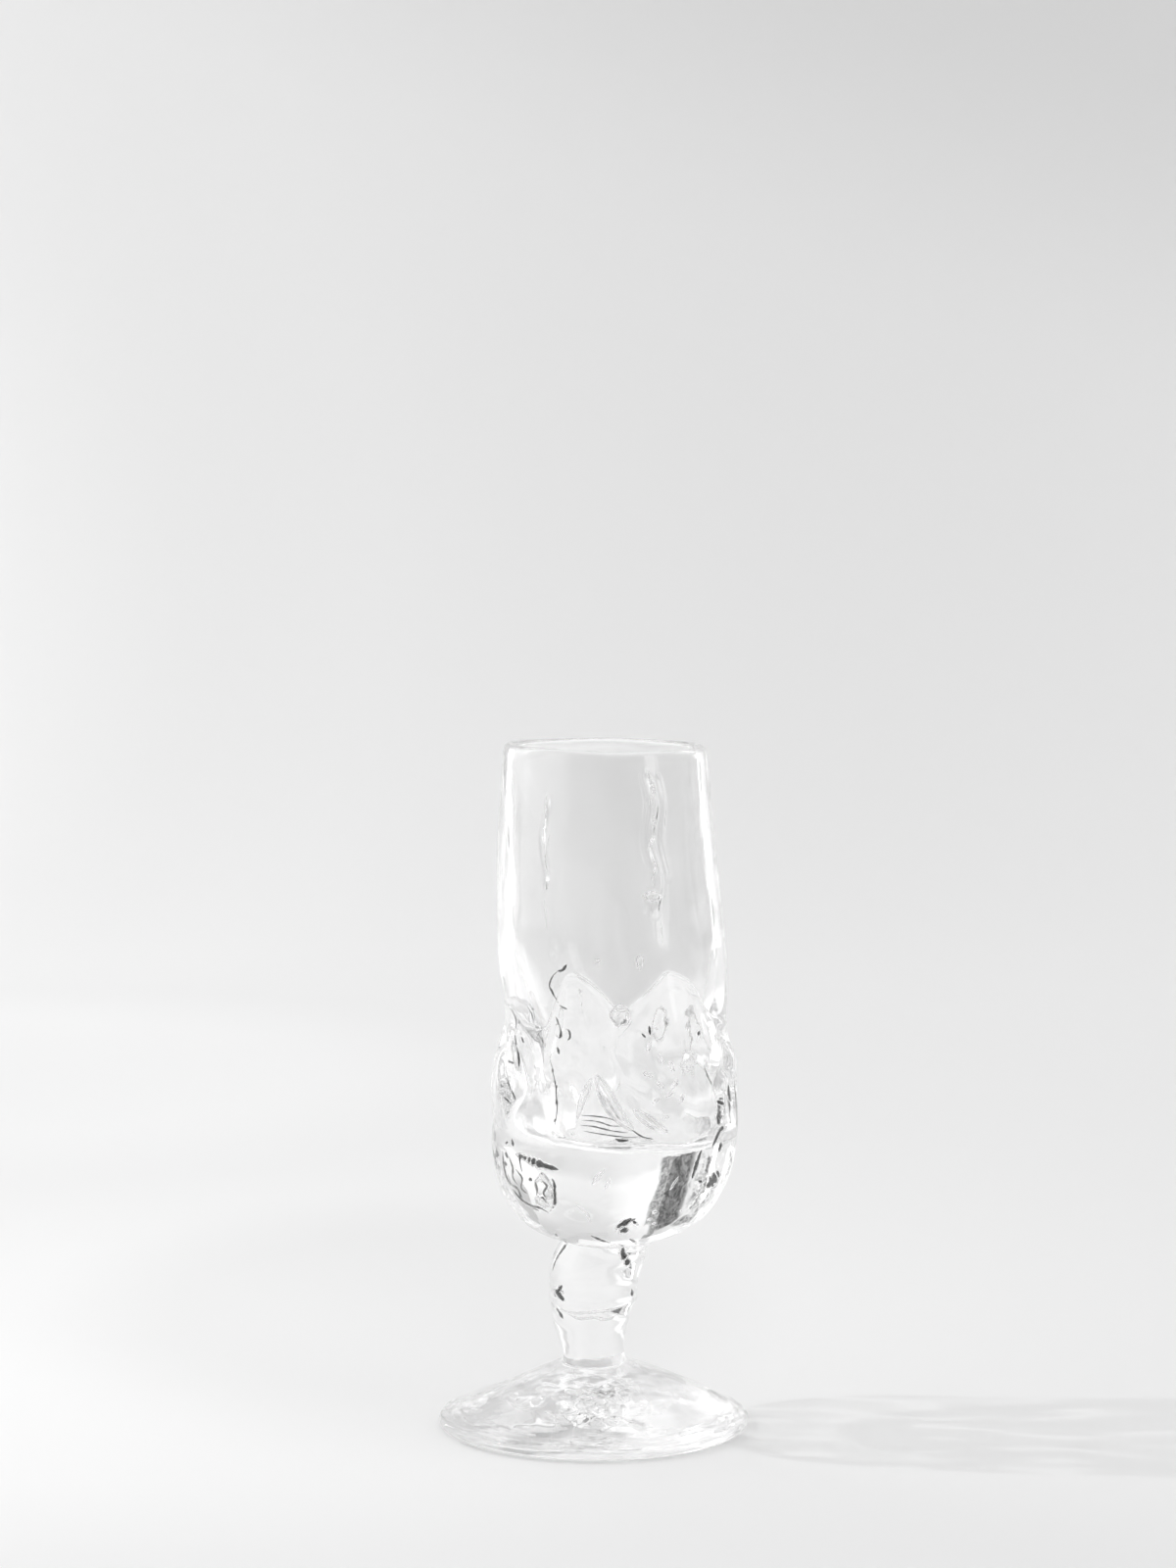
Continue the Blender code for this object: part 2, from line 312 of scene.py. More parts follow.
def foot_wall():
    """The foot's dome, round edge, standing ring, hollow underside and scar."""
    edge = FOOT_EDGE / 2
    edge_centre = FOOT_RADIUS - edge
    ring_inside = edge_centre - FOOT_RING
    share = steps(0, 1, DOME_ROWS)
    top_radius = mix(KNOP_RINGS[-1][2], KNOP_RINGS[-1][3], np.sin(ANGLES) ** 2)
    dome_radius = mix(top_radius, edge_centre, share)
    dome = FOOT_EDGE + (SEAT - FOOT_EDGE) * (1 - share) ** FOOT_CURVE
    fuller = FOOT_FULLNESS * np.sin(np.pi * share) * (0.5 + 0.5 * np.cos(ANGLES))
    rows = [ring_points(0, dome_radius, dome + fuller)]
    turn = steps(np.pi / 2, -np.pi / 2, FOOT_EDGE_ROWS)
    rows.append(ring_points(0, edge_centre + edge * np.cos(turn), edge + edge * np.sin(turn)))
    rows.append(ring_points(0, steps(edge_centre, ring_inside, FOOT_RING_ROWS), 0.0))
    share = steps(0, 1, FOOT_KICK_ROWS)
    rows.append(ring_points(0, mix(ring_inside, PONTIL_RADIUS, share), FOOT_KICK * ease(share)))
    share = steps(0, 1, SCAR_ROWS)
    scar = FOOT_KICK + PONTIL_DEPTH * ease(share * 4)
    rows.append(ring_points(0, PONTIL_RADIUS * (1 - share), scar))
    return np.concatenate(rows)


def grid_normals(points):
    """Outward normals of a skin whose rows go down and whose columns go round."""
    down = np.gradient(points, axis=0)
    around = np.roll(points, -1, axis=1) - np.roll(points, 1, axis=1)
    normals = np.cross(down, around)
    length = np.linalg.norm(normals, axis=-1, keepdims=True)
    return np.where(length > 1e-9, normals / np.maximum(length, 1e-9), [0, 0, -1.0])


def grain(points, scale, seed):
    """Smooth noise from -1 to 1 at each point. scale is the size of a wave, in millimetres along X, Y, Z."""
    spots = (points / np.asarray(scale, float)).reshape(-1, 3) + seed
    values = [noise.noise(Vector(spot)) for spot in spots]
    return np.array(values).reshape(points.shape[:-1])


def displace(points, amount):
    return points + grid_normals(points) * amount[..., None]


# Dents from the maker's tools: angle in degrees, height, half width, half height and depth
DENTS = [
    (80, 52, 5, 5, -0.8), (130, 55, 6, 7, 1.0), (215, 56, 5, 6, 0.8), (236, 60, 4, 5, -0.6),
    (262, 58, 5, 4, 0.5), (250, 52, 6, 3, -0.5), (305, 60, 4, 8, 0.6), (288, 50, 4, 4, 0.7),
    (190, 92, 4, 3, 0.8), (195, 84, 3, 5, -0.7), (185, 76, 4, 3, 0.7), (350, 88, 4, 4, -0.8),
    (340, 80, 3, 4, 0.7),
]


def dent_depths(points, centre):
    """How far the tool marks go into the skin at each point."""
    across = points[..., 0] - centre
    angle = np.degrees(np.arctan2(points[..., 1], across))
    reach = np.hypot(points[..., 1], across)
    depth = np.zeros(points.shape[:-1])
    for at, height, half_width, half_height, deep in DENTS:
        aside = np.radians(angle_between(angle, at)) * reach / half_width
        above = (points[..., 2] - height) / half_height
        depth += deep * np.exp(-aside ** 2 - above ** 2)
    return depth


# Where the lobes are smooth: middle, half width and soft edge, in degrees
CALM_LOBES = [(-12, 25, 20), (221, 8, 8)]


def rough_share():
    """How hand-worked the lobes are at each column, from 0 where they are smooth to 1."""
    rough = np.ones(COLUMNS)
    for middle, reach, soft in CALM_LOBES:
        rough = rough * ease((np.abs(angle_between(DEGREES, middle)) - reach) / soft)
    return rough


# Cords drawn into the bare wall of the cup: angle, top, bottom, half width, height and how far they wander
CORDS = [
    (295, 157, 122, 0.8, 0.80, 0.8), (301, 156, 130, 0.6, 0.60, 0.5), (292, 129.5, 125.5, 1.5, 0.80, 0.0),
    (236, 151, 128, 0.5, 0.55, 0.6), (240, 118, 112, 0.8, 0.45, 0.3), (262, 114, 110.5, 0.8, 0.4, 0.0),
]
CORD_WAVE = 2.7
CORD_END = 3


def cord_heights(points):
    """How far the cords stand out of the wall at each point."""
    height = points[..., 2]
    out = np.zeros(points.shape[:-1])
    for at, top, bottom, half_width, high, wander in CORDS:
        reach = np.hypot(points[..., 0] - RIM_OFFSET, points[..., 1])
        aside = np.radians(angle_between(DEGREES, at)) * reach + wander * np.sin(height / CORD_WAVE)
        ends = np.clip((top - height) / CORD_END, 0, 1) * np.clip((height - bottom) / CORD_END, 0, 1)
        out += high * np.exp(-(aside / half_width) ** 2) * ease(ends)
    return out


# The whole outer skin, from the crest of the rim to the middle of the underside
SECTIONS = [
    rim_arc(1), upper_wall(), lobe_walls()[1:], gather_wall(),
    stem_wall(NOSE, RIDGE, UPPER_KNOP_ROWS), stem_wall(RIDGE, SEAT, LOWER_KNOP_ROWS), foot_wall(),
]
ROW_ENDS = np.cumsum([len(section) for section in SECTIONS]) - 1
EDGE_ROW, SHOULDER_ROW, NOSE_ROW, RIDGE_ROW, SEAT_ROW = ROW_ENDS[1:6]


# Waves in the hand-worked skin: their size along X, Y and Z, and a seed
LONG_WAVES = ((9, 9, 30), 3.0)
SOFT_WAVES = ((7, 7, 9), 11.0)
PEBBLES = (2.2, 23.0)
FINE_CORDS = ((4, 4, 14), 31.0)

# How high they stand: long waves and fine cords on the cup, soft waves and pebbles on the other pieces
BOWL_WAVES = (0.22, 0.06)
LOBE_WAVES = (0.35, 0.07)
CALM_SHARE = 0.1
GATHER_WAVES = (0.32, 0.04)
STEM_WAVES = (0.15, 0.03)
FOOT_LONG_WAVES = 0.14
FOOT_WAVES = (0.10, 0.05)
SCAR_WAVES = (0.3, 0.35)
SCAR_REACH = 1.6

# Distances over which they fade out
RIM_CALM = 6
EDGE_CALM = 5
PEBBLE_CALM = 9
SHOULDER_FADE = 6
STANDING_CALM = 1.5

# Fine lines round the edge of the foot: where they start as a share of its radius, soft edge, height, spacing
FOOT_LINES_START = 0.78
FOOT_LINES_SOFT = 4
FOOT_LINES_HEIGHT = 0.06
FOOT_LINES_STEP = 1.7


def skin_waves(points):
    """How far the hand-worked skin stands in or out at each point."""
    rows = np.arange(len(points))[:, None]
    height = points[..., 2]
    reach = np.hypot(points[..., 0], points[..., 1])
    long_waves = grain(points, *LONG_WAVES)
    soft_waves = grain(points, *SOFT_WAVES)
    pebbles = grain(points, *PEBBLES)

    def worked(heights):
        return heights[0] * soft_waves + heights[1] * pebbles

    bowl = BOWL_WAVES[0] * long_waves + BOWL_WAVES[1] * grain(points, *FINE_CORDS) + cord_heights(points)
    edge_distance = np.clip((EDGE - height) / EDGE_CALM, 0, 1)
    lobe_pebbles = LOBE_WAVES[1] * pebbles * np.clip((EDGE - height) / PEBBLE_CALM, 0, 1)
    lobes = mix(CALM_SHARE, 1, rough_share()) * (LOBE_WAVES[0] * soft_waves + lobe_pebbles)
    scar = np.clip(SCAR_REACH - reach / PONTIL_RADIUS, 0, 1) * (height < FOOT_EDGE + 1)
    near_edge = np.clip((reach - FOOT_LINES_START * FOOT_RADIUS) / FOOT_LINES_SOFT, 0, 1)
    lines = np.sin(2 * np.pi * (reach + long_waves) / FOOT_LINES_STEP) * (height > FOOT_EDGE / 2)
    foot = FOOT_LONG_WAVES * long_waves + worked(FOOT_WAVES) + scar * worked(SCAR_WAVES)
    foot = foot + FOOT_LINES_HEIGHT * near_edge * lines
    rim_distance = np.clip((RIM_TOP - height) / RIM_CALM, 0, 1)
    waves = np.where(rows <= EDGE_ROW, bowl * rim_distance, lobes * edge_distance)
    fade = np.clip((SHOULDER - height) / SHOULDER_FADE, 0, 1)
    waves = np.where(rows > SHOULDER_ROW, mix(lobes, worked(GATHER_WAVES), fade), waves)
    waves = np.where(rows > NOSE_ROW, worked(STEM_WAVES), waves)
    waves = np.where(rows > SEAT_ROW, foot * np.clip(height / STANDING_CALM, 0, 1), waves)
    centre = np.where(rows <= NOSE_ROW, NOSE_OFFSET, 0)
    centre = np.where(rows <= SHOULDER_ROW, cup_centre(height), centre)
    return waves - dent_depths(points, centre) * (rows > EDGE_ROW) * edge_distance


SKIN = np.concatenate(SECTIONS)
SKIN = displace(SKIN, skin_waves(SKIN))
SKIN_NORMALS = grid_normals(SKIN)


# Cavity: height, centre and radius of its rings, seen from the front
CAVITY_RINGS = [
    (RIM_TOP, RIM_OFFSET, RIM_RADIUS - RIM_WALL), (150, 2.8, 21.2), (138, 3.05, 21.75), (125, 3.55, 22.2),
    (113, 4.4, 22.7), (102, 5.3, 21.5), (92, 5.8, 19.2), (85, 6.6, 18.4), (78, 9.3, 19.5), (72, 10.0, 19.9),
]
CAVITY_FLOOR = 67.0

# Waves in its wall above and below the lobes' edge: size along X, Y and Z, seed and height
CAVITY_WAVES = ((8, 8, 26), 47.0)
CAVITY_WAVE = 0.16
LOW_WAVES = ((6, 6, 8), 53.0)
LOW_WAVE_CALM = 0.03
LOW_WAVE = 0.35
LOW_FADE = 12

# Folds pressed into the foot of the cavity's wall: angle, top, half width at the floor and depth
FOLDS = [(116, 83, 8.0, 7.5), (60, 75, 9.0, 4.5)]
FOLD_REACH = 14


def fold_depths(points, centre):
    """Tent-shaped folds that rise from the cavity's floor to a point on its wall."""
    across = points[..., 0] - centre
    angle = np.degrees(np.arctan2(points[..., 1], across))
    reach = np.hypot(points[..., 1], across)
    depth = np.zeros(points.shape[:-1])
    for at, top, half_width, deep in FOLDS:
        share = np.clip((top - points[..., 2]) / (top - CAVITY_FLOOR), 0, 1)
        aside = np.abs(np.radians(angle_between(angle, at))) * reach
        depth += deep * share * np.clip(1 - aside / np.maximum(half_width * share, 0.1), 0, 1)
    return depth * np.clip(reach / FOLD_REACH, 0, 1) ** 2


def cavity():
    """The inside of the cup, from the crest of the rim to the middle of its floor."""
    heights, centres, radii = (np.array(column[::-1]) for column in zip(*CAVITY_RINGS))
    root = heights[0]
    height = steps(RIM_TOP - RIM_WALL / 2, root, CAVITY_ROWS)
    beside = smooth_curve(heights, radii, height)
    before = cup_radius(height) - mix(RIM_WALL, BELLY_WALL, ease((RIM_TOP - height) / (RIM_TOP - BELLY)))
    radius = mix(before, beside, np.cos(ANGLES) ** 2)
    wall = ring_points(smooth_curve(heights, centres, height), radius, height + rim_wave(height))
    turn = steps(0, np.pi / 2, CAVITY_FLOOR_ROWS)
    power = 2 / SQUARENESS
    low = root - (root - CAVITY_FLOOR) * np.sin(turn) ** power
    bottom = ring_points(centres[0], radius[-1] * np.clip(np.cos(turn), 0, 1) ** power, low)
    points = np.concatenate([rim_arc(-1), wall, bottom])
    waves = CAVITY_WAVE * grain(points, *CAVITY_WAVES)
    lower = ease((EDGE - points[..., 2]) / LOW_FADE)
    low_waves = mix(LOW_WAVE_CALM, LOW_WAVE, rough_share()) * grain(points, *LOW_WAVES)
    waves = mix(waves, low_waves, lower) - fold_depths(points, centres[0])
    waves[:RIM_ROWS] = 0
    points = displace(points, waves)
    points[0] = SKIN[0]
    return points


CAVITY = cavity()
CAVITY_NORMALS = -grid_normals(CAVITY)


def cup_under_lobes():
    """The cup's own outside below the lobes' edge, where it is fused with them."""
    height = lobe_heights()
    points = ring_points(cup_centre(height), cup_radius(height), height)
    points[0] = SKIN[EDGE_ROW]
    return points


def cup_bottom():
    """The cup's outside from the shoulder to the middle of its bottom."""
    share = np.linspace(0, 1, CUP_BOTTOM_ROWS)[:, None]
    height = SHOULDER - (SHOULDER - CUP_BOTTOM) * np.sin(share * np.pi / 2)
    points = ring_points(cup_centre(height), cup_radius(height), height)
    points[-1] = [cup_centre(CUP_BOTTOM), 0, CUP_BOTTOM]
    return points


UNDER_LOBES = cup_under_lobes()
CUP_BOTTOM_SKIN = cup_bottom()


# Places of the materials in each mesh
GLASS_SLOT = 0
SEAM_SLOT = 1
AIR_SLOT = 2
# The near-black air of the dark threads is painted shade
SHADE_AIR_SLOT = 3


class Patch:
    """A grid of points on one side of a piece. Fused patches lie inside the glass and don't show."""

    def __init__(self, points, normals=None, flip=False, closed=True, slot=None):
        self.points = points
        self.normals = normals
        self.slot = slot or (SEAM_SLOT if normals is None else GLASS_SLOT)
        self.flip = flip
        self.closed = closed

    def quads(self):
        rows, columns = self.points.shape[:2]
        index = np.arange(rows * columns).reshape(rows, columns)
        if self.closed:
            index = np.concatenate([index, index[:, :1]], axis=1)
        corners = [index[:-1, :-1], index[1:, :-1], index[1:, 1:], index[:-1, 1:]]
        quads = np.stack(corners, axis=-1).reshape(-1, 4)
        return quads[:, ::-1] if self.flip else quads


def disc(ring, flip=False):
    """A fused face that closes a ring."""
    middle = np.broadcast_to(ring.mean(axis=0), ring.shape)
    return Patch(np.stack([ring, middle]), flip=flip)


def skin(first, last):
    return Patch(SKIN[first:last + 1], SKIN_NORMALS[first:last + 1])


def sphere_patch(rows=10, columns=16):
    """A unit ball as a grid of rows from its top to its bottom."""
    tilt = np.linspace(0, np.pi, rows + 1)[:, None]
    turn = np.arange(columns) * 2 * np.pi / columns
    ring = np.sin(tilt)
    return np.stack([ring * np.cos(turn), ring * np.sin(turn), np.cos(tilt) * np.ones(columns)], axis=-1)


# Trapped air: how uneven it is, the size and seed of its unevenness, and the shape of its threads
BUBBLE_WOBBLE = 0.35
BUBBLE_NOISE = (0.9, 71.0)
THREAD_WOBBLE = 0.45
THREAD_NOISE = (0.9, 83.0)
THREAD_STEP = 0.35
THREAD_FEWEST = 8
THREAD_TAPER = 0.6
THREAD_WIDTH = 1.25
THREAD_FLATNESS = 0.8
THREAD_SIDES = 10


def skin_spot(angle, height):
    """The point of the skin at an angle and a height, and the skin's normal there."""
    column = int(round(angle / 360 * COLUMNS)) % COLUMNS
    row = int(np.argmin(np.abs(SKIN[:SEAT_ROW, column, 2] - height)))
    return SKIN[row, column], SKIN_NORMALS[row, column]


def air_bubble(angle, height, depth, size):
    """A pocket of air under the skin: size is its width round the goblet, its height and its thickness."""
    spot, normal = skin_spot(angle, height)
    around = np.array([-math.sin(math.radians(angle)), math.cos(math.radians(angle)), 0])
    upward = np.cross(normal, around)
    upward /= np.linalg.norm(upward)
    ball = sphere_patch()
    wobble = 1 + BUBBLE_WOBBLE * grain(ball + spot, *BUBBLE_NOISE)[..., None]
    width, tall, thick = size
    ball = ball * wobble * np.array([width, thick, tall]) / 2
    points = spot - normal * depth + ball @ np.stack([around, normal, upward])
    return Patch(points, np.zeros_like(points), flip=True, slot=AIR_SLOT)


def drawn_thread(radius, stops, outward, dark, wobble=THREAD_WOBBLE):
    """A drawn-out thread of air through points, tapered to both ends and flattened along outward(line)."""
    along = np.concatenate([[0], np.cumsum(np.linalg.norm(np.diff(stops, axis=0), axis=1))])
    count = max(THREAD_FEWEST, int(along[-1] / THREAD_STEP))
    at = np.linspace(0, along[-1], count)
    line = np.stack([smooth_curve(along, stops[:, axis], at) for axis in range(3)], axis=-1)
    ahead = np.gradient(line, axis=0)
    ahead /= np.linalg.norm(ahead, axis=1, keepdims=True)
    aside = np.cross(outward(line), ahead)
    aside /= np.linalg.norm(aside, axis=1, keepdims=True)
    across = np.cross(ahead, aside)
    taper = np.sin(np.pi * np.linspace(0, 1, count)) ** THREAD_TAPER
    uneven = 1 + wobble * grain(line[:, None, :], *THREAD_NOISE)[:, 0]
    width = THREAD_WIDTH * radius * taper * uneven
    turn = (np.arange(THREAD_SIDES) * 2 * np.pi / THREAD_SIDES)[:, None]
    ring = aside[:, None] * np.cos(turn) - THREAD_FLATNESS * across[:, None] * np.sin(turn)
    points = line[:, None] + ring * width[:, None, None]
    # Dark threads get the near-black air, painted shade for dark strokes in the glass; the others get clear
    # air
    return Patch(points, np.zeros_like(points), flip=True, slot=SHADE_AIR_SLOT if dark else AIR_SLOT)


def air_thread(radius, depth, path, dark=True, wobble=THREAD_WOBBLE):
    """A thread of air along a path of angles and heights under the skin."""
    spots = [skin_spot(angle, height) for angle, height in path]
    stops = np.array([spot - normal * depth for spot, normal in spots])
    return drawn_thread(radius, stops, lambda line: line * [1, 1, 0], dark, wobble)


def foot_thread(radius, stops, dark):
    """A thread of air in the foot, along a path of points."""
    return drawn_thread(radius, np.array(stops), lambda line: line * 0 + [0, 0, 1], dark)


# Air caught between the bits of glass: angle, height, depth under the skin, and size
BUBBLES = [
    (272.1, 100.3, 2.0, (4.4, 5.2, 2.2)), (230.0, 60.2, 2.4, (5.0, 6.4, 1.4)),
    (227.5, 55.8, 2.4, (4.2, 3.0, 1.3)), (288.2, 97.8, 1.4, (0.7, 0.7, 0.7)),
    (289.3, 77.1, 2.0, (1.3, 0.8, 0.8)), (233.6, 72.9, 2.0, (1.0, 1.0, 0.9)),
    (243.2, 73.3, 2.4, (0.9, 0.9, 0.9)), (290.4, 52.2, 1.8, (1.2, 1.0, 0.9)),
    (294.6, 51.0, 1.8, (1.0, 0.8, 0.8)), (291.0, 54.2, 1.8, (1.4, 1.2, 0.8)),
    (309.6, 53.6, 1.6, (0.9, 0.9, 0.8)), (222.9, 32.4, 0.9, (1.0, 0.9, 0.8)),
]

# Threads of air along the seams and creases, tinted near black as painted shade: radius, depth under the
# skin, and path of angles and heights
THREADS = [
    (0.36, 1.2, [(246.4, 111.8), (243.2, 110.6), (240.0, 109.8)]),
    (0.18, 1.4, [(241.0, 110.0), (236.5, 108.2), (234.6, 106.0), (236.5, 104.4), (239.6, 102.6)]),
    (0.26, 1.4, [(235.0, 106.0), (236.6, 104.2)]),
    (0.22, 1.4, [(240.0, 102.4), (245.4, 101.7)]),
    (0.28, 1.6, [(235.7, 99.7), (238.9, 98.0)]),
    (0.15, 2.0, [(231.0, 90.4), (233.6, 88.2), (236.2, 85.4), (237.0, 82.4), (236.4, 79.0), (234.2, 74.6)]),
    (0.27, 2.0, [(233.4, 88.4), (235.0, 86.9)]),
    (0.24, 2.0, [(236.5, 84.4), (236.8, 82.9)]),
    (0.33, 2.0, [(236.9, 81.4), (236.5, 79.6)]),
    (0.22, 2.0, [(235.2, 76.6), (234.6, 75.4)]),
    (0.26, 0.8, [(200.4, 99.6), (203.6, 97.4), (202.5, 94.8)]),
    (0.34, 0.9, [(201.4, 93.8), (204.6, 90.9)]),
    (0.26, 0.9, [(207.9, 93.8), (211.1, 92.2)]),
    (0.42, 1.0, [(203.6, 91.7), (206.8, 89.7), (210.0, 86.5)]),
    (0.30, 0.8, [(201.4, 87.8), (206.8, 87.4)]),
    (0.30, 0.9, [(202.5, 83.8), (206.8, 81.4)]),
    (0.30, 0.8, [(199.3, 79.7), (203.6, 78.9), (207.9, 77.8)]),
    (0.26, 0.9, [(206.8, 81.6), (210.0, 79.1)]),
    (0.55, 0.9, [(204.6, 69.9), (205.7, 68.4)]),
    (0.45, 0.9, [(208.9, 70.3), (211.1, 68.9)]),
    (0.50, 0.9, [(203.6, 67.1), (206.8, 65.7)]),
    (0.70, 1.0, [(203.6, 64.7), (202.5, 62.6)]),
    (0.26, 1.8, [(214.3, 67.8), (215.4, 64.8), (216.4, 62.6)]),
    (0.42, 1.6, [
        (203.6, 61.4), (204.6, 59.4), (210.0, 58.2), (211.1, 55.9), (218.6, 54.7), (226.1, 54.4),
        (231.4, 53.7),
    ]),
    (0.42, 2.0, [(231.4, 53.5), (235.7, 55.8), (236.8, 59.2), (235.7, 62.0), (234.6, 62.9)]),
    (0.90, 2.4, [(210.5, 66.9), (220.0, 65.9), (229.3, 65.0), (237.5, 64.5)]),
    (0.30, 1.8, [(223.9, 53.7), (214.3, 54.9), (207.9, 56.4)]),
    (0.45, 1.6, [(311.8, 95.1), (316.1, 96.6)]),
    (1.80, 1.8, [(336.0, 79.9), (330.5, 76.8), (325.0, 73.2)]),
    (1.30, 2.0, [(332.0, 78.4), (328.5, 76.4), (326.0, 74.0)]),
    (0.80, 1.2, [(343.9, 81.7), (343.9, 78.2), (339.6, 75.1)]),
    (0.35, 0.8, [(350.0, 82.0), (352.0, 78.0), (351.0, 74.0), (348.0, 70.0)]),
    (0.55, 1.6, [(334.0, 72.6), (326.0, 71.5), (319.0, 68.9)]),
    (0.65, 1.4, [(327.9, 69.4), (325.7, 66.6)]),
    (0.55, 1.8, [(311.8, 68.2), (309.6, 64.9), (308.6, 61.6)]),
    (1.90, 2.0, [(333.0, 62.2), (328.0, 60.4), (323.0, 58.6)]),
    (0.40, 2.0, [(313.9, 60.8), (318.2, 60.0)]),
    (0.28, 1.8, [(316.1, 87.5), (320.4, 84.7), (325.7, 81.1)]),
    (0.50, 2.6, [(272.6, 48.9), (274.6, 50.4), (277.6, 51.6)]),
    (0.90, 2.8, [(274.4, 49.1), (276.6, 50.4), (280.4, 52.0)]),
    (0.35, 2.6, [(277.0, 50.0), (279.4, 51.3), (283.0, 52.0)]),
    (0.40, 2.6, [(280.7, 51.6), (283.4, 50.6), (286.1, 50.2)]),
    (0.85, 2.4, [(276.0, 47.9), (279.0, 48.8), (282.0, 49.5)]),
    (0.75, 2.4, [(274.5, 48.2), (277.0, 49.3), (279.5, 50.1)]),
    (0.45, 0.7, [(201.0, 66.5), (201.5, 63.5), (203.0, 61.0), (206.0, 58.4)]),
    (0.40, 0.8, [(206.0, 58.0), (210.5, 56.0), (216.0, 54.6)]),
    (0.30, 1.2, [(207.0, 66.0), (210.0, 63.5), (208.5, 61.0), (212.0, 59.0)]),
    (0.28, 1.4, [(212.0, 63.0), (216.0, 61.2), (214.0, 58.6), (219.0, 57.4)]),
    (0.28, 2.4, [(262.5, 72.5), (264.6, 72.1), (270.0, 71.4)]),
    (0.50, 1.6, [(255.0, 48.1), (261.4, 46.9), (271.1, 45.7)]),
    (0.90, 0.9, [(289.0, 44.0), (298.0, 42.4), (309.0, 40.4), (322.0, 38.0)]),
    (0.45, 1.2, [(304.3, 41.5), (307.5, 40.6)]),
    (0.80, 0.9, [(200.4, 33.3), (212.1, 32.1), (227.1, 30.7)]),
    (0.60, 0.9, [(223.9, 34.3), (201.4, 31.0)]),
    (0.50, 0.9, [(332.1, 33.3), (336.4, 30.6)]),
    (0.42, 0.6, [(212.0, 46.5), (205.0, 43.5), (200.0, 40.0), (197.0, 36.5)]),
    (0.42, 0.8, [(206.0, 28.6), (216.0, 27.6), (226.0, 26.2)]),
    (0.30, 1.6, [(284.6, 98.4), (285.4, 96.0)]),
    (0.25, 1.6, [(280.5, 96.8), (283.0, 95.6)]),
    (0.24, 1.8, [(235.6, 97.4), (238.5, 98.0), (240.5, 96.8), (239.0, 95.2), (236.2, 95.6)]),
    (0.24, 1.8, [(242.0, 97.4), (245.0, 97.0), (246.5, 95.4), (244.0, 94.4)]),
    (0.36, 1.8, [(237.2, 93.2), (238.6, 91.2)]),
    (0.24, 2.0, [(224.5, 61.5), (226.5, 59.5), (225.5, 57.2)]),
    (0.26, 1.8, [(229.5, 62.2), (232.0, 60.6), (230.5, 58.5), (233.0, 57.0)]),
    (0.24, 1.8, [(226.0, 56.6), (229.0, 57.4), (231.5, 55.6)]),
    (0.50, 2.0, [(221.5, 61.7), (222.2, 60.5)]),
    (0.45, 1.4, [(227.0, 47.6), (221.0, 46.2)]),
    (0.50, 1.4, [(284.0, 47.0), (291.0, 45.6), (297.0, 44.9)]),
    (0.14, 3.0, [(248.0, 77.4), (254.0, 77.8), (261.0, 77.2), (266.0, 77.0)]),
    (0.12, 3.0, [(247.0, 76.2), (255.0, 76.4), (263.0, 75.6), (269.0, 75.8)]),
    (0.16, 3.0, [(246.5, 74.8), (253.0, 75.3), (262.0, 74.4), (270.0, 74.0)]),
    (0.13, 3.0, [(248.0, 73.6), (258.0, 73.4), (268.0, 72.8), (274.0, 72.9)]),
    (0.20, 3.0, [(272.0, 75.0), (276.0, 73.2), (282.0, 72.2)]),
]


# Air caught in the bare wall of the cup: a blister, and clear threads along the cords
WALL_BUBBLES = [
    (292.0, 127.4, 1.5, (4.6, 2.2, 1.1)), (283.5, 112.6, 1.5, (1.6, 3.4, 0.9)),
    (262.0, 112.6, 1.5, (1.2, 1.2, 0.9)),
]
WALL_THREADS = [
    (0.22, 1.2, [(293.5, 156.0), (294.5, 152.0), (293.2, 147.5)]),
    (0.28, 1.3, [(294.8, 146.0), (296.4, 141.5), (295.0, 138.2)]),
    (0.34, 1.4, [(294.4, 136.8), (297.0, 134.2), (294.0, 131.6), (293.2, 129.4)]),
    (0.16, 1.2, [(297.5, 153.0), (298.3, 148.0)]),
    (0.18, 1.3, [(296.6, 121.5), (297.2, 116.5)]),
    (0.15, 1.2, [(236.2, 150.0), (237.4, 146.2), (236.6, 141.8)]),
    (0.18, 1.3, [(237.6, 141.0), (236.4, 136.0), (236.9, 131.5)]),
    (0.14, 1.3, [(234.4, 126.0), (235.2, 119.5)]),
]

# Smooth tubes of air in the tent-shaped fold at the foot of the cup
FOLD_TUBES = [
    (1.5, 4.2, [(258.0, 87.0), (264.5, 81.0), (273.5, 74.5)]),
    (0.7, 4.0, [(256.0, 86.5), (250.0, 81.0), (245.0, 76.0)]),
    (1.0, 4.0, [(273.5, 79.0), (281.0, 76.0), (291.0, 73.0)]),
]

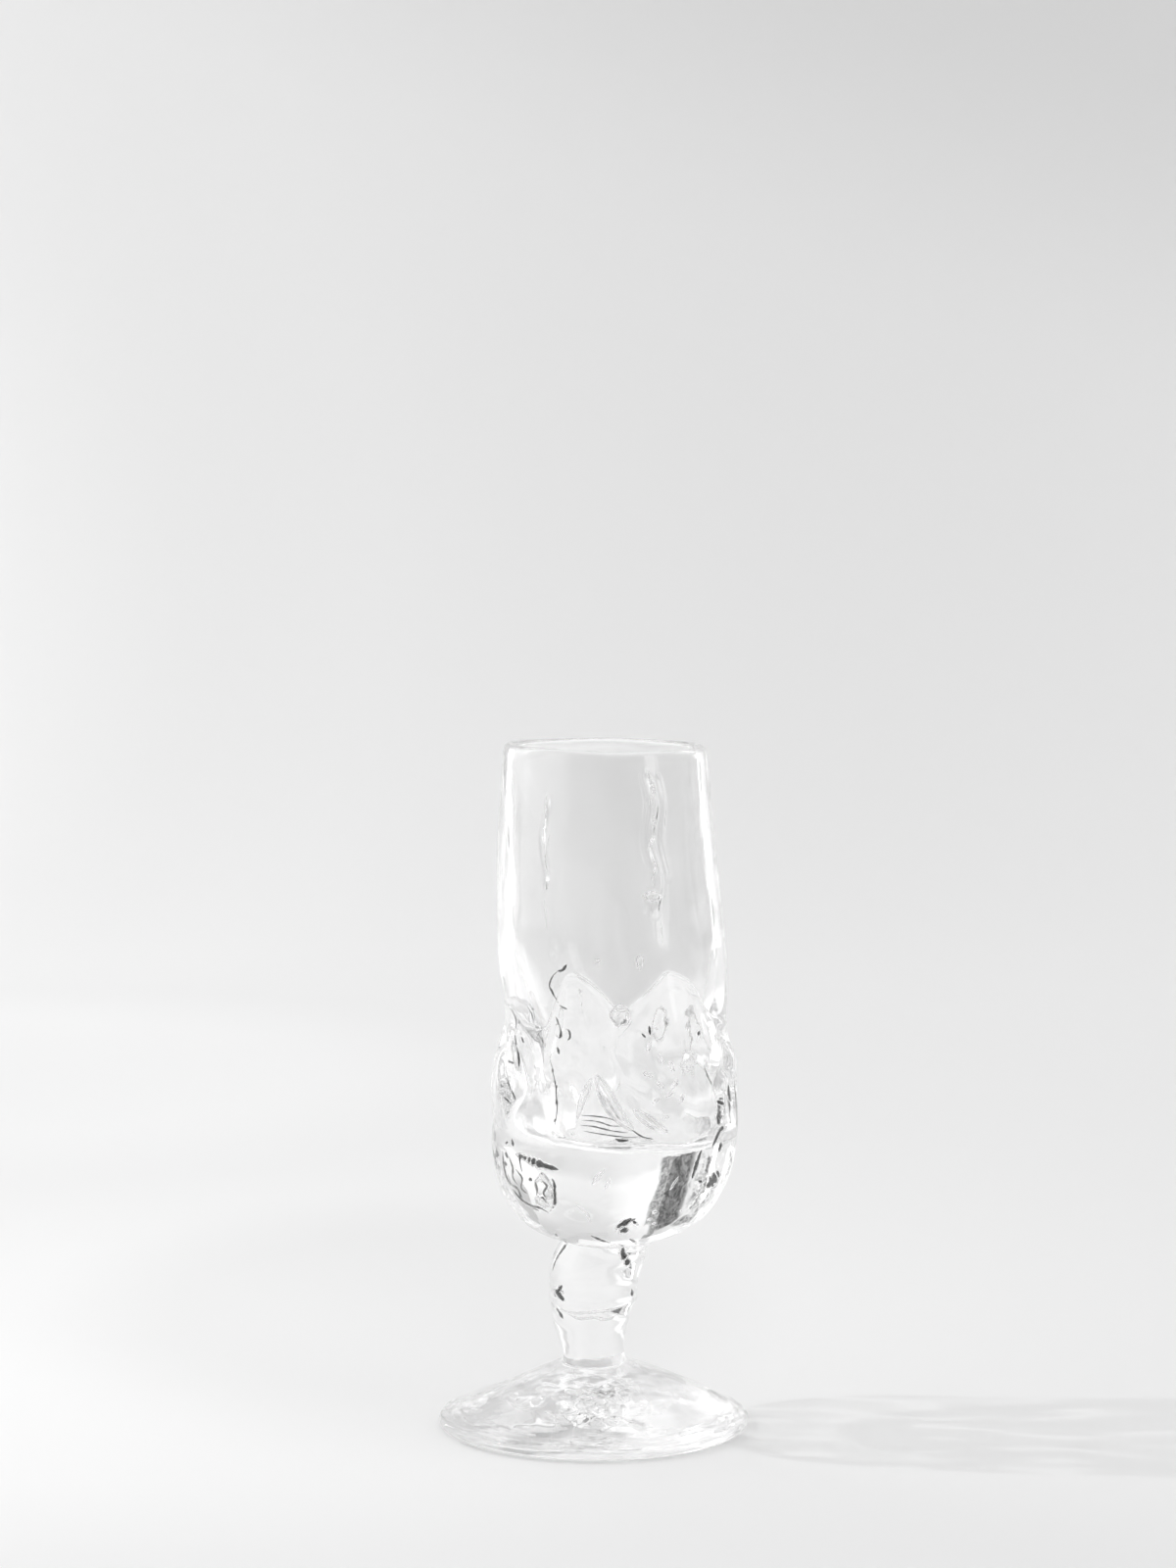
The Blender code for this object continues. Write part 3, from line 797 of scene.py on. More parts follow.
# Clear threads of air in the folds round the foot of the cup
CLEAR_THREADS = [
    (0.4, 1.6, [(285.2, 94.8), (282.6, 91.9)]),
    (0.5, 1.8, [(288.6, 91.4), (290.4, 89.2)]), (0.6, 1.8, [(293.4, 90.0), (295.6, 87.4)]),
    (0.5, 2.0, [(300.5, 88.2), (307.5, 87.0)]), (0.4, 2.0, [(279.5, 87.4), (284.5, 86.2)]),
    (0.5, 2.0, [(294.0, 83.4), (297.8, 85.4)]), (0.4, 2.0, [(286.0, 85.7), (289.2, 83.8)]),
    (0.4, 2.0, [(290.5, 81.4), (294.2, 82.8)]), (0.4, 2.0, [(282.6, 80.3), (286.8, 81.7)]),
    (0.4, 2.0, [(297.6, 80.0), (300.8, 82.2)]), (0.5, 1.2, [(262.0, 44.5), (275.0, 45.2), (290.0, 43.8)]),
    (0.4, 2.0, [(255.5, 61.4), (257.4, 63.4), (260.0, 65.4)]), (0.3, 2.2, [(261.0, 60.2), (264.0, 63.0)]),
    (0.3, 2.0, [(248.0, 56.4), (253.0, 54.4), (256.0, 51.6)]), (0.3, 2.0, [(300.0, 63.0), (297.0, 59.0)]),
    (0.3, 0.9, [(218.0, 28.6), (240.0, 28.1), (265.0, 28.3), (290.0, 28.6), (318.0, 29.2)]),
    (0.3, 1.0, [(232.0, 27.8), (252.0, 27.0), (272.0, 27.3), (296.0, 26.7), (312.0, 27.4)]),
]


# Threads of air in the scar of the foot, tinted near black as painted shade: radius and path of points
SCAR_THREADS = [
    (0.16, [
        (-2.7, -6.4, 2.96), (-1.7, -5.6, 3.39), (-1.0, -6.2, 3.25), (0.1, -3.9, 3.54), (1.4, -5.1, 3.49),
        (2.5, -5.8, 3.16), (3.5, -4.7, 3.44), (4.5, -5.9, 3.08),
    ]),
    (0.16, [(0.4, -6.1, 3.41), (1.5, -4.1, 3.49), (2.7, -4.9, 3.56), (4.1, -3.7, 3.50)]),
]

# Clear threads of air in the foot
FOOT_THREADS = [
    (0.17, [
        (-18.6, -2.1, 1.66), (-17.5, -5.3, 1.71), (-15.9, -8.4, 1.90), (-13.6, -9.8, 2.16),
        (-10.7, -10.8, 2.35),
    ]),
    (0.16, [(-10.3, -12.5, 2.20), (-8.7, -14.5, 2.07), (-7.5, -15.1, 2.09), (-6.3, -14.6, 2.24)]),
    (0.20, [
        (3.2, -17.2, 2.02), (4.3, -17.7, 1.89), (5.2, -16.5, 2.05), (6.6, -16.9, 1.90), (8.0, -18.4, 1.62),
    ]),
    (0.15, [(7.2, -16.6, 1.90), (8.2, -18.0, 1.66), (9.5, -18.9, 1.46)]),
]


def air_between(bottom, top, first, last):
    """The trapped air whose heights and angles lie in a piece of glass."""
    middle = (first + last) / 2

    def within(angle, height):
        return bottom < height <= top and abs(angle_between(angle, middle)) <= (last - first) / 2

    air = [air_bubble(*bubble) for bubble in BUBBLES if within(*bubble[:2])]
    air += [air_thread(*thread, dark=False) for thread in CLEAR_THREADS if within(*thread[2][0])]
    air += [air_thread(*thread, dark=False, wobble=0) for thread in FOLD_TUBES if within(*thread[2][0])]
    return air + [air_thread(*thread) for thread in THREADS if within(*thread[2][0])]


# Points of patches that lie closer than this are one point
MERGE_DISTANCE = 1e-5


def mesh_from_patches(name, patches, materials):
    """Joins patches at their shared points into one closed mesh."""
    points = np.concatenate([patch.points.reshape(-1, 3) for patch in patches])
    keys = np.round(points / MERGE_DISTANCE).astype(np.int64)
    unique, first, inverse = np.unique(keys, axis=0, return_index=True, return_inverse=True)
    inverse = inverse.reshape(-1)
    normals = np.zeros((len(unique), 3))
    faces = []
    slots = []
    start = 0
    for patch in patches:
        size = patch.points.shape[0] * patch.points.shape[1]
        ids = inverse[start:start + size]
        start += size
        if patch.normals is not None:
            normals[ids] = patch.normals.reshape(-1, 3)
        for quad in ids[patch.quads()]:
            corners = list(dict.fromkeys(quad.tolist()))
            if len(corners) > 2:
                faces.append(corners)
                slots.append(patch.slot)
    mesh = bpy.data.meshes.new(name)
    mesh.from_pydata((points[first] * MM).tolist(), [], faces)
    for material in materials:
        mesh.materials.append(material)
    mesh.polygons.foreach_set("material_index", slots)
    mesh.shade_smooth()
    mesh.normals_split_custom_set_from_vertices(normals.tolist())
    return mesh


def add_piece(name, patches, materials, node):
    piece = bpy.data.objects.new(name, mesh_from_patches(name, patches, materials))
    bpy.context.scene.collection.objects.link(piece)
    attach(piece, "root")
    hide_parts(node)
    return piece


def new_material(name):
    material = bpy.data.materials.new(name)
    material.use_nodes = True
    nodes = material.node_tree.nodes
    return material, nodes, material.node_tree.links, nodes["Principled BSDF"], nodes["Material Output"]


class Shades:
    """Adds the nodes of a material or a world that work out plain numbers."""

    def __init__(self, tree):
        self.nodes = tree.nodes
        self.links = tree.links

    def feed(self, socket, value):
        if isinstance(value, (int, float)):
            socket.default_value = value
        else:
            self.links.new(value, socket)

    def math(self, operation, *values):
        node = self.nodes.new("ShaderNodeMath")
        node.operation = operation
        for socket, value in zip(node.inputs, values):
            self.feed(socket, value)
        return node.outputs["Value"]

    def times(self, first, second):
        return self.math("MULTIPLY", first, second)

    def rest(self, share):
        """What a share leaves of 1."""
        return self.math("SUBTRACT", 1.0, share)

    def ramp(self, value, start, end, low=0.0, high=1.0, smooth=False):
        node = self.nodes.new("ShaderNodeMapRange")
        node.interpolation_type = "SMOOTHSTEP" if smooth else "LINEAR"
        names = ("Value", "From Min", "From Max", "To Min", "To Max")
        for name, part in zip(names, (value, start, end, low, high)):
            self.feed(node.inputs[name], part)
        return node.outputs["Result"]

    def vector(self, operation, vector, constant=None):
        node = self.nodes.new("ShaderNodeVectorMath")
        node.operation = operation
        self.links.new(vector, node.inputs[0])
        if constant is not None:
            node.inputs[1].default_value = constant
        return node

    def along(self, vector, steps):
        return self.vector("DOT_PRODUCT", vector, steps).outputs["Value"]

    def axes(self, vector):
        node = self.nodes.new("ShaderNodeSeparateXYZ")
        self.links.new(vector, node.inputs["Vector"])
        return node.outputs

    def noise(self, place, scale, detail=2.0):
        node = self.nodes.new("ShaderNodeTexNoise")
        node.inputs["Scale"].default_value = scale
        node.inputs["Detail"].default_value = detail
        self.links.new(place, node.inputs["Vector"])
        return node.outputs["Fac"]

    def rays(self):
        """Shares of light: straight through the glass, turned back inside it, and seen by the camera."""
        path = self.nodes.new("ShaderNodeLightPath")
        turned = self.math("GREATER_THAN", path.outputs["Glossy Depth"], 0.5)
        through = path.outputs["Is Transmission Ray"]
        straight = self.times(through, self.rest(turned))
        return straight, self.times(through, turned), path.outputs["Is Camera Ray"]


# Glass: how much its tint varies, the slopes from which and to which faces that point down get worn, and for
# shadows how far its edges reach in and the share of light that passes there
GLASS_IOR = 1.5
TINT_RANGE = 0.01
WORN_SLOPE = (-0.6, -0.9)
FACING_BLEND = 0.3
EDGE_PASSING = 0.45

# Streaks of light in the goblet's shadow: steps per metre across and along the key lamp's beam, their edge
STREAK_ACROSS = (20.0, 220.0, 0.0)
STREAK_ALONG = (70.0, 12.0, 68.0)
STREAK_EDGE = (0.55, 0.63)


def shadow_light(shades, place, passing):
    """The share of light that passes the glass for shadows: less at its edges, all of it in some streaks."""
    facing = shades.nodes.new("ShaderNodeLayerWeight")
    facing.inputs["Blend"].default_value = FACING_BLEND
    passed = shades.ramp(facing.outputs["Facing"], 0.0, 1.0, passing, EDGE_PASSING)
    spread = shades.nodes.new("ShaderNodeCombineXYZ")
    shades.feed(spread.inputs["X"], shades.along(place, STREAK_ACROSS))
    shades.feed(spread.inputs["Y"], shades.along(place, STREAK_ALONG))
    lit = shades.ramp(shades.noise(spread.outputs["Vector"], 1.0, 0.0), *STREAK_EDGE, smooth=True)
    return shades.rest(shades.times(shades.rest(passed), shades.rest(lit)))


def clear_glass(name, ripple_size, ripple_height, haze, clearness, worn=0.0, passing=0.82):
    """Clear hand-blown glass with faint cords and a little haze, and worn underneath if worn is set.

    passing is the share of light that it lets through for shadows where it is seen straight on.
    """
    material, nodes, links, shader, output = new_material(name)
    shades = Shades(material.node_tree)
    place = nodes.new("ShaderNodeTexCoord").outputs["Object"]
    shader.inputs["IOR"].default_value = GLASS_IOR
    shader.inputs["Transmission Weight"].default_value = 1.0
    ripple = shades.noise(place, 1 / (ripple_size * MM))
    bump = nodes.new("ShaderNodeBump")
    bump.inputs["Strength"].default_value = 1.0
    bump.inputs["Distance"].default_value = ripple_height * MM
    links.new(ripple, bump.inputs["Height"])
    links.new(bump.outputs["Normal"], shader.inputs["Normal"])
    normal = shades.axes(nodes.new("ShaderNodeNewGeometry").outputs["True Normal"])
    under = shades.ramp(normal["Z"], *WORN_SLOPE, 0.0, worn)
    roughness = shades.math("ADD", shades.ramp(ripple, 0.0, 1.0, 0.0, haze), under)
    links.new(roughness, shader.inputs["Roughness"])
    tint = nodes.new("ShaderNodeValToRGB")
    for element, level in zip(tint.color_ramp.elements, (clearness - TINT_RANGE, clearness + TINT_RANGE)):
        element.color = (level, level, level, 1)
    links.new(ripple, tint.inputs["Fac"])
    links.new(tint.outputs["Color"], shader.inputs["Base Color"])
    pass_light = nodes.new("ShaderNodeBsdfTransparent")
    links.new(shadow_light(shades, place, passing), pass_light.inputs["Color"])
    both = nodes.new("ShaderNodeMixShader")
    links.new(nodes.new("ShaderNodeLightPath").outputs["Is Shadow Ray"], both.inputs["Fac"])
    links.new(shader.outputs["BSDF"], both.inputs[1])
    links.new(pass_light.outputs["BSDF"], both.inputs[2])
    links.new(both.outputs["Shader"], output.inputs["Surface"])
    return material


def fused_seam():
    """Where two bits of glass have melted together nothing is seen."""
    material, _, _, shader, _ = new_material("fused_seam")
    shader.inputs["Alpha"].default_value = 0.0
    return material


def lobe_patches(index):
    """The sides of one lobe, with the air in it. Lobes go round from the right, seen from above."""
    middle = index * COLUMNS // len(LOBE_NODES)
    half = COLUMNS // len(LOBE_NODES) // 2
    columns = np.arange(middle - half, middle + half + 1) % COLUMNS
    outside = SKIN[EDGE_ROW:SHOULDER_ROW + 1, columns]
    normals = SKIN_NORMALS[EDGE_ROW:SHOULDER_ROW + 1, columns]
    within = UNDER_LOBES[:, columns]
    patches = [
        Patch(outside, normals, closed=False),
        Patch(within, flip=True, closed=False),
        Patch(np.stack([outside[-1], within[-1]]), closed=False),
        Patch(np.stack([outside[:, 0], within[:, 0]], axis=1), flip=True, closed=False),
        Patch(np.stack([outside[:, -1], within[:, -1]], axis=1), closed=False),
    ]
    first = (index - 0.5) * LOBE_SPAN
    return patches + air_between(SHOULDER, RIM_TOP, first, first + LOBE_SPAN)


def build_goblet():
    air = [
        fused_seam(),
        clear_glass("trapped_air", 1.0, 0.02, 0.02, 0.96),
        # Near-black air: painted shade for dark strokes in the glass
        clear_glass("shade_dark_air", 1.0, 0.02, 0.05, 0.07),
    ]
    # Each piece's clearness is a grey tint, partly the glass's own faint tint and partly painted shade that
    # darkens the bowl and stem, with painted light that keeps the gather and foot pale
    bowl = [clear_glass("bowl_glass", 6.0, 0.02, 0.01, 0.925)] + air
    gather = [clear_glass("gather_glass", 2.5, 0.03, 0.02, 0.985)] + air
    stem = [clear_glass("stem_glass", 3.0, 0.03, 0.02, 0.905)] + air
    foot = [clear_glass("foot_glass", 5.0, 0.02, 0.02, 0.985, worn=0.06, passing=0.86)] + air
    inside = Patch(CAVITY, CAVITY_NORMALS, flip=True)
    fused = np.concatenate([UNDER_LOBES[:1], UNDER_LOBES[FUSED_STEP::FUSED_STEP], CUP_BOTTOM_SKIN[1:]])
    cup = [skin(0, EDGE_ROW), inside, Patch(fused)]
    cup += [air_bubble(*bubble) for bubble in WALL_BUBBLES]
    cup += [air_thread(*thread, dark=False) for thread in WALL_THREADS]
    add_piece("bowl_skin", cup, bowl, "bowl")
    for index, node in enumerate(LOBE_NODES):
        add_piece(node + "_skin", lobe_patches(index), gather, node)
    shoulder = Patch(np.stack([SKIN[SHOULDER_ROW], CUP_BOTTOM_SKIN[0]]), flip=True)
    dish = Patch(CUP_BOTTOM_SKIN, flip=True)
    base = [skin(SHOULDER_ROW, NOSE_ROW), shoulder, dish, disc(SKIN[NOSE_ROW])]
    base += air_between(NOSE, SHOULDER, 0, 360)
    add_piece("base_gather_skin", base, gather, "base_gather")
    upper = [skin(NOSE_ROW, RIDGE_ROW), disc(SKIN[NOSE_ROW], flip=True), disc(SKIN[RIDGE_ROW])]
    upper += air_between(RIDGE, NOSE, 0, 360)
    add_piece("upper_knop_skin", upper, stem, "upper_knop")
    lower = [skin(RIDGE_ROW, SEAT_ROW), disc(SKIN[RIDGE_ROW], flip=True), disc(SKIN[SEAT_ROW])]
    lower += air_between(SEAT, RIDGE, 0, 360)
    add_piece("lower_knop_skin", lower, stem, "lower_knop")
    standing = [skin(SEAT_ROW, len(SKIN) - 1), disc(SKIN[SEAT_ROW], flip=True)]
    standing += [foot_thread(*thread, dark=True) for thread in SCAR_THREADS]
    standing += [foot_thread(*thread, dark=False) for thread in FOOT_THREADS]
    add_piece("foot_skin", standing, foot, "foot")


# Stage in metres: a pale floor just under the goblet that narrows behind it to a sweep of paper
FLOOR_TOP = -0.0003
FLOOR_FRONT = -1.3
FLOOR_SIDES = (-3.0, 3.0)
FLOOR_BACK = 2.5
SWEEP_FRONT = 0.5
SWEEP_SIDES = (-0.385, 0.95)
SWEEP_RADIUS = 0.5
SWEEP_BACK = 1.3
SWEEP_TOP = 1.7
SWEEP_ROWS = 24

# The paper's colour, how rough it is, and painted shade that makes the floor darker towards the camera's side
# of the room
PAPER_COLOUR = 0.88
PAPER_ROUGHNESS = 0.9
PAPER_SHINE = 0.1
PAINTED_FRONT_SHADE = 0.45
PAINTED_FRONT_SHADE_Y = (-0.9, -0.3)

# Places of painted shade on the paper, such as the goblet's soft shadow behind it at the left, or of painted
# light where
# the last number is below 0: middle, half sizes, how much
PAINTED_SHADE_POOLS = [
    (-0.05, 0.13, 0.11, 0.17, 0.06), (0.03, -0.20, 0.35, 0.17, 0.05), (-0.33, 1.20, 0.25, 0.60, 0.04),
    (-0.22, 0.50, 0.22, 0.22, -0.05),
]
# Painted shade also makes it greyer towards the top right: slope to the right, where that starts and ends,
# share left there
TOP_SHADE_SLOPE = 0.35
TOP_SHADE_RISE = (0.32, 0.54)
TOP_SHADE = 0.90

# Painted light: what the glass shows of the paper glows brighter in places, though the paper is no lamp:
# middle, half sizes and how much brighter. The first list is for light that goes straight through the glass,
# the second for light also turned back in it
STRAIGHT_GLOWS = [
    (1.60, 1.80, 1.40, 1.30, 0.25), (-0.24, 0.38, 0.14, 0.18, 0.30), (0.01, 0.18, 0.14, 0.18, 0.13),
    (-0.17, 0.27, 0.09, 0.09, 0.22), (-0.15, 0.95, 0.20, 0.30, 0.05), (0.20, 0.32, 0.13, 0.26, 0.17),
    (0.02, 0.79, 0.16, 0.14, 0.03),
]
TURNED_GLOWS = [
    (0.58, 0.67, 0.26, 0.20, 0.45), (0.14, 0.20, 0.16, 0.18, 0.50), (1.60, 1.80, 1.40, 1.30, 0.12),
    (-0.42, 0.54, 0.30, 0.28, 0.50), (-0.17, 0.37, 0.09, 0.18, 0.32), (-0.02, 0.03, 0.025, 0.03, 0.25),
    (0.40, -0.12, 0.40, 0.20, 0.25), (0.45, 1.30, 0.25, 0.90, 0.10),
]
# And painted shade makes it darker in places, again for straight and for turned light
STRAIGHT_DIMS = [
    (0.45, 0.86, 0.30, 0.24, 0.10), (-0.37, 0.95, 0.14, 0.22, 0.05), (-0.11, 0.12, 0.09, 0.09, 0.06),
]
TURNED_DIMS = [
    (0.03, 0.03, 0.03, 0.04, 0.22), (-0.11, 0.14, 0.08, 0.11, 0.28), (-0.04, 0.10, 0.05, 0.06, 0.15),
]
# Painted light: how much the whole paper glows for straight light and the floor for turned light. For
# straight light the sweep above the floor glows brighter still, most at the left, as a painted highlight in
# the glass
STRAIGHT_GLOW = 0.016
TURNED_GLOW = 0.09
PAPER_GLOW = 0.12
PAPER_LEFT_GLOW = 0.24
PAPER_LEFT_X = (0.05, -0.25)
PAPER_LOW_Z = (0.04, 0.10)

# Painted shade darkens the left end of the sweep, which only straight light shows. Its edge is a slope X / Y
# that changes with the height. It starts above the floor, and its mottles hide these shares of the paper
DARK_PAPER_EDGE = (-0.278, -0.212)
DARK_PAPER_RISE = (0.05, 0.32)
DARK_PAPER_SOFT = 0.020
DARK_PAPER_Z = (0.034, 0.044)
DARK_PAPER = (0.82, 0.48)
DARK_GRAIN = 36.0
DARK_MOTTLE = (0.35, 0.65)

# Far from the goblet the floor is lost in a haze as bright as the room behind it
HAZE_SIDE = (1.2, 2.4)
HAZE_FRONT = (-0.45, -1.15)
CAMERA_GLOW = 0.85


def pools(shades, place, spots):
    """The levels of round, soft-edged places on the paper, added up."""
    total = 0.0
    for x, y, half_x, half_y, level in spots:
        offset = shades.vector("SUBTRACT", place, (x, y, 0)).outputs["Vector"]
        scaled = shades.vector("DIVIDE", offset, (half_x, half_y, half_y)).outputs["Vector"]
        reach = shades.vector("LENGTH", scaled).outputs["Value"]
        total = shades.math("ADD", shades.ramp(reach, 1.0, 0.5, 0.0, level, smooth=True), total)
    return total


def mottled(shades, place, levels):
    """The mottled pattern of the painted dark on the paper and of the dark spots in the studio glow, between
    two levels.
    """
    return shades.ramp(shades.noise(place, DARK_GRAIN), *DARK_MOTTLE, *levels)


def painted_dark_share(shades, place, axes):
    """The share of the paper that is painted dark, as painted shade."""
    slope = shades.math("DIVIDE", axes["X"], axes["Y"])
    beside = shades.math("SUBTRACT", slope, shades.ramp(axes["Z"], *DARK_PAPER_RISE, *DARK_PAPER_EDGE))
    covered = shades.ramp(beside, DARK_PAPER_SOFT, -DARK_PAPER_SOFT, smooth=True)
    high = shades.ramp(axes["Z"], *DARK_PAPER_Z)
    return shades.times(shades.times(covered, high), mottled(shades, place, DARK_PAPER))


def pale_paper():
    """White paper, as things and the camera see it and, with painted light and shade, as light shows it that
    has gone through the glass.
    """
    material, nodes, links, shader, _ = new_material("pale_paper")
    shader.inputs["Roughness"].default_value = PAPER_ROUGHNESS
    shader.inputs["Specular IOR Level"].default_value = PAPER_SHINE
    shades = Shades(material.node_tree)
    place = nodes.new("ShaderNodeTexCoord").outputs["Object"]
    axes = shades.axes(place)
    straight, turned, camera = shades.rays()
    # Painted shade: the share of the paper left bare of the painted dark, for straight light
    bare = shades.rest(shades.times(painted_dark_share(shades, place, axes), straight))

    # Painted light: the paper glows for light that has gone through the glass
    above = shades.ramp(axes["Z"], *PAPER_LOW_Z)
    left = shades.ramp(axes["X"], *PAPER_LEFT_X, PAPER_GLOW, PAPER_GLOW + PAPER_LEFT_GLOW)
    left = shades.math("MULTIPLY_ADD", left, above, STRAIGHT_GLOW)
    straight_glow = shades.math("MULTIPLY_ADD", left, bare, pools(shades, place, STRAIGHT_GLOWS))
    low = shades.rest(above)
    turned_glow = shades.math("MULTIPLY_ADD", low, TURNED_GLOW, pools(shades, place, TURNED_GLOWS))
    glow = shades.math("MULTIPLY_ADD", turned, turned_glow, shades.times(straight, straight_glow))
    side = shades.ramp(shades.math("ABSOLUTE", axes["X"]), *HAZE_SIDE, smooth=True)
    front = shades.ramp(axes["Y"], *HAZE_FRONT, smooth=True)
    haze = shades.times(shades.math("MAXIMUM", side, front), shades.math("MAXIMUM", straight, camera))
    glow = shades.math("MULTIPLY_ADD", haze, CAMERA_GLOW, glow)
    shader.inputs["Emission Color"].default_value = (1, 1, 1, 1)
    links.new(glow, shader.inputs["Emission Strength"])

    # Painted shade in the paper's colour: darker towards the front, in pools, towards the top right, and
    # where the glass looks at it
    shade = shades.ramp(axes["Y"], *PAINTED_FRONT_SHADE_Y, PAINTED_FRONT_SHADE, PAPER_COLOUR)
    shade = shades.times(shade, shades.math("SUBTRACT", bare, haze))
    shade = shades.times(shade, shades.rest(pools(shades, place, PAINTED_SHADE_POOLS)))
    rise = shades.math("MULTIPLY_ADD", axes["X"], TOP_SHADE_SLOPE, axes["Z"])
    shade = shades.times(shade, shades.ramp(rise, *TOP_SHADE_RISE, 1.0, TOP_SHADE, smooth=True))
    # Painted shade where the glass looks at the paper
    for rays, dims in ((straight, STRAIGHT_DIMS), (turned, TURNED_DIMS)):
        shade = shades.times(shade, shades.rest(shades.times(rays, pools(shades, place, dims))))
    links.new(shade, shader.inputs["Base Color"])
    return material


def add_stage():
    turn = np.linspace(-np.pi / 2, 0, SWEEP_ROWS)
    middle = SWEEP_BACK - SWEEP_RADIUS
    rows = [(FLOOR_SIDES, FLOOR_FRONT, 0.0), (FLOOR_SIDES, SWEEP_FRONT, 0.0)]
    for angle in turn:
        depth = middle + SWEEP_RADIUS * math.cos(angle)
        rows.append((SWEEP_SIDES, depth, SWEEP_RADIUS * (1 + math.sin(angle))))
    rows.append((SWEEP_SIDES, SWEEP_BACK, SWEEP_TOP))
    points = [(x, y, z + FLOOR_TOP) for sides, y, z in rows for x in sides]
    faces = [(2 * i, 2 * i + 1, 2 * i + 3, 2 * i + 2) for i in range(len(rows) - 1)]
    for side in (0, 1):
        wing = [(FLOOR_SIDES[side], SWEEP_FRONT), (SWEEP_SIDES[side], middle)]
        wing += [(SWEEP_SIDES[side], FLOOR_BACK), (FLOOR_SIDES[side], FLOOR_BACK)]
        faces.append(tuple(range(len(points), len(points) + 4)))
        points += [(x, y, FLOOR_TOP) for x, y in wing]
    mesh = bpy.data.meshes.new("paper_sweep")
    mesh.from_pydata(points, [], faces)
    mesh.shade_smooth()
    mesh.materials.append(pale_paper())
    sweep = bpy.data.objects.new("paper_sweep", mesh)
    bpy.context.scene.collection.objects.link(sweep)


# The lamp that throws the shadow: place, size and power
GOBLET_MIDDLE = (0, 0, 0.07)
KEY_PLACE = (-0.33, 0.03, 0.41)
KEY_SIZE = 0.007
KEY_POWER = 0.58

# Glowing panels: name, place, what they face, width, height and how bright they look, where 1 is white
PANELS = [
    ("window_panel", (-1.2, 0.1, 0.6), GOBLET_MIDDLE, 1.4, 1.0, 0.45),
    ("strip_panel", (0.85, -0.6, 0.45), GOBLET_MIDDLE, 0.28, 0.8, 1.4),
    ("fill_panel", (0.25, -1.2, 0.9), GOBLET_MIDDLE, 0.5, 0.5, 1.8),
    ("left_paper_lamp", (-0.75, 0.85, 0.22), (0.0, 1.3, 0.12), 0.3, 0.4, 4.5),
    ("right_paper_lamp", (0.95, 0.80, 0.22), (0.1, 1.3, 0.08), 0.3, 0.4, 3.4),
    ("back_panel", (-0.12, 0.8, 0.8), (-0.12, 0.8, 0), 0.8, 0.4, 0.45),
    ("left_pool", (-0.85, 0.65, 0.7), (-0.75, 0.65, 0), 0.5, 0.5, 0.4),
    ("right_pool", (0.85, 0.75, 0.7), (0.75, 0.75, 0), 0.4, 0.4, 0.3),
]
# Panels that reflections or the glass don't show
NOT_REFLECTED = ["fill_panel"]
NOT_THROUGH_GLASS = ["right_paper_lamp"]


def put_light(name, lamp, place, target):
    item = bpy.data.objects.new(name, lamp)
    item.location = place
    item.visible_camera = False
    item.visible_glossy = name not in NOT_REFLECTED
    item.visible_transmission = name not in NOT_THROUGH_GLASS
    item.rotation_euler = (Vector(target) - Vector(place)).to_track_quat("-Z", "Y").to_euler()
    bpy.context.scene.collection.objects.link(item)


def add_key_lamp():
    lamp = bpy.data.lights.new("key_lamp", "AREA")
    lamp.shape = "DISK"
    lamp.size = KEY_SIZE
    lamp.energy = KEY_POWER
    put_light("key_lamp", lamp, KEY_PLACE, GOBLET_MIDDLE)


def add_panel(name, place, target, width, height, level):
    lamp = bpy.data.lights.new(name, "AREA")
    lamp.shape = "RECTANGLE"
    lamp.size = width
    lamp.size_y = height
    lamp.energy = level * math.pi * width * height
    put_light(name, lamp, place, target)


# The studio's glow: as it lights things, and for light that goes straight through the glass or turns in it
GLOW_LEVEL = 0.51
STRAIGHT_LEVEL = 0.64
TURNED_LEVEL = 0.85
# Its bright and dark spots: azimuth in degrees from straight behind the goblet to its right, elevation, half
# angles of the spot's middle and of its soft edge, and the level there
GLOW_SPOTS = [
    (0, 90, 20, 50, 0.9), (-75, 15, 35, 60, 0.95), (75, 10, 30, 55, 0.7), (46, 1, 6, 12, 0.95),
    (38, 20, 8, 16, 0.52),
]
# A dim side of the room at the right, which only light that turns in the glass shows
TURNED_SPOTS = [(40, 20, 16, 26, 0.52), (51, 5, 6, 10, 0.70)]
# The dark room behind the camera, which light going straight through the glass doesn't show
ROOM_SPOTS = [(160, 4, 16, 30, 0.15), (180, 4, 16, 30, 0.15), (200, 4, 16, 30, 0.15)]
# The dark thing behind at the left, which only light going straight through the glass shows: azimuth,
# elevation and how much of the mottled level each spot of it has
DARK_SPOTS = [
    (-38, 6, 2.9), (-44, 10, 2.9), (-50, 15, 2.9), (-36, 14, 3.0), (-42, 20, 3.0), (-33, 27, 1.6),
    (-41, 30, 1.8), (-50, 34, 2.2), (-17, -2, 1.2), (-22, -2, 1.0), (-25, -1, 0.9), (-17, 3, 1.9),
    (-24, 4, 1.1), (-21, 3, 0.8), (-17.5, 8, 1.8), (-23.5, 8, 0.9), (-21, 8, 0.9), (-18, 13, 1.3),
    (-23, 13, 0.75), (-18.5, 18, 1.0), (-21, 22, 1.0), (-22.5, 18, 0.7),
]
DARK_INNER = 3.0
DARK_OUTER = 6.5
DARK_LEVELS = (0.06, 0.38)


def direction(azimuth, elevation):
    flat = math.cos(math.radians(elevation))
    turn = math.radians(azimuth)
    return (flat * math.sin(turn), flat * math.cos(turn), math.sin(math.radians(elevation)))


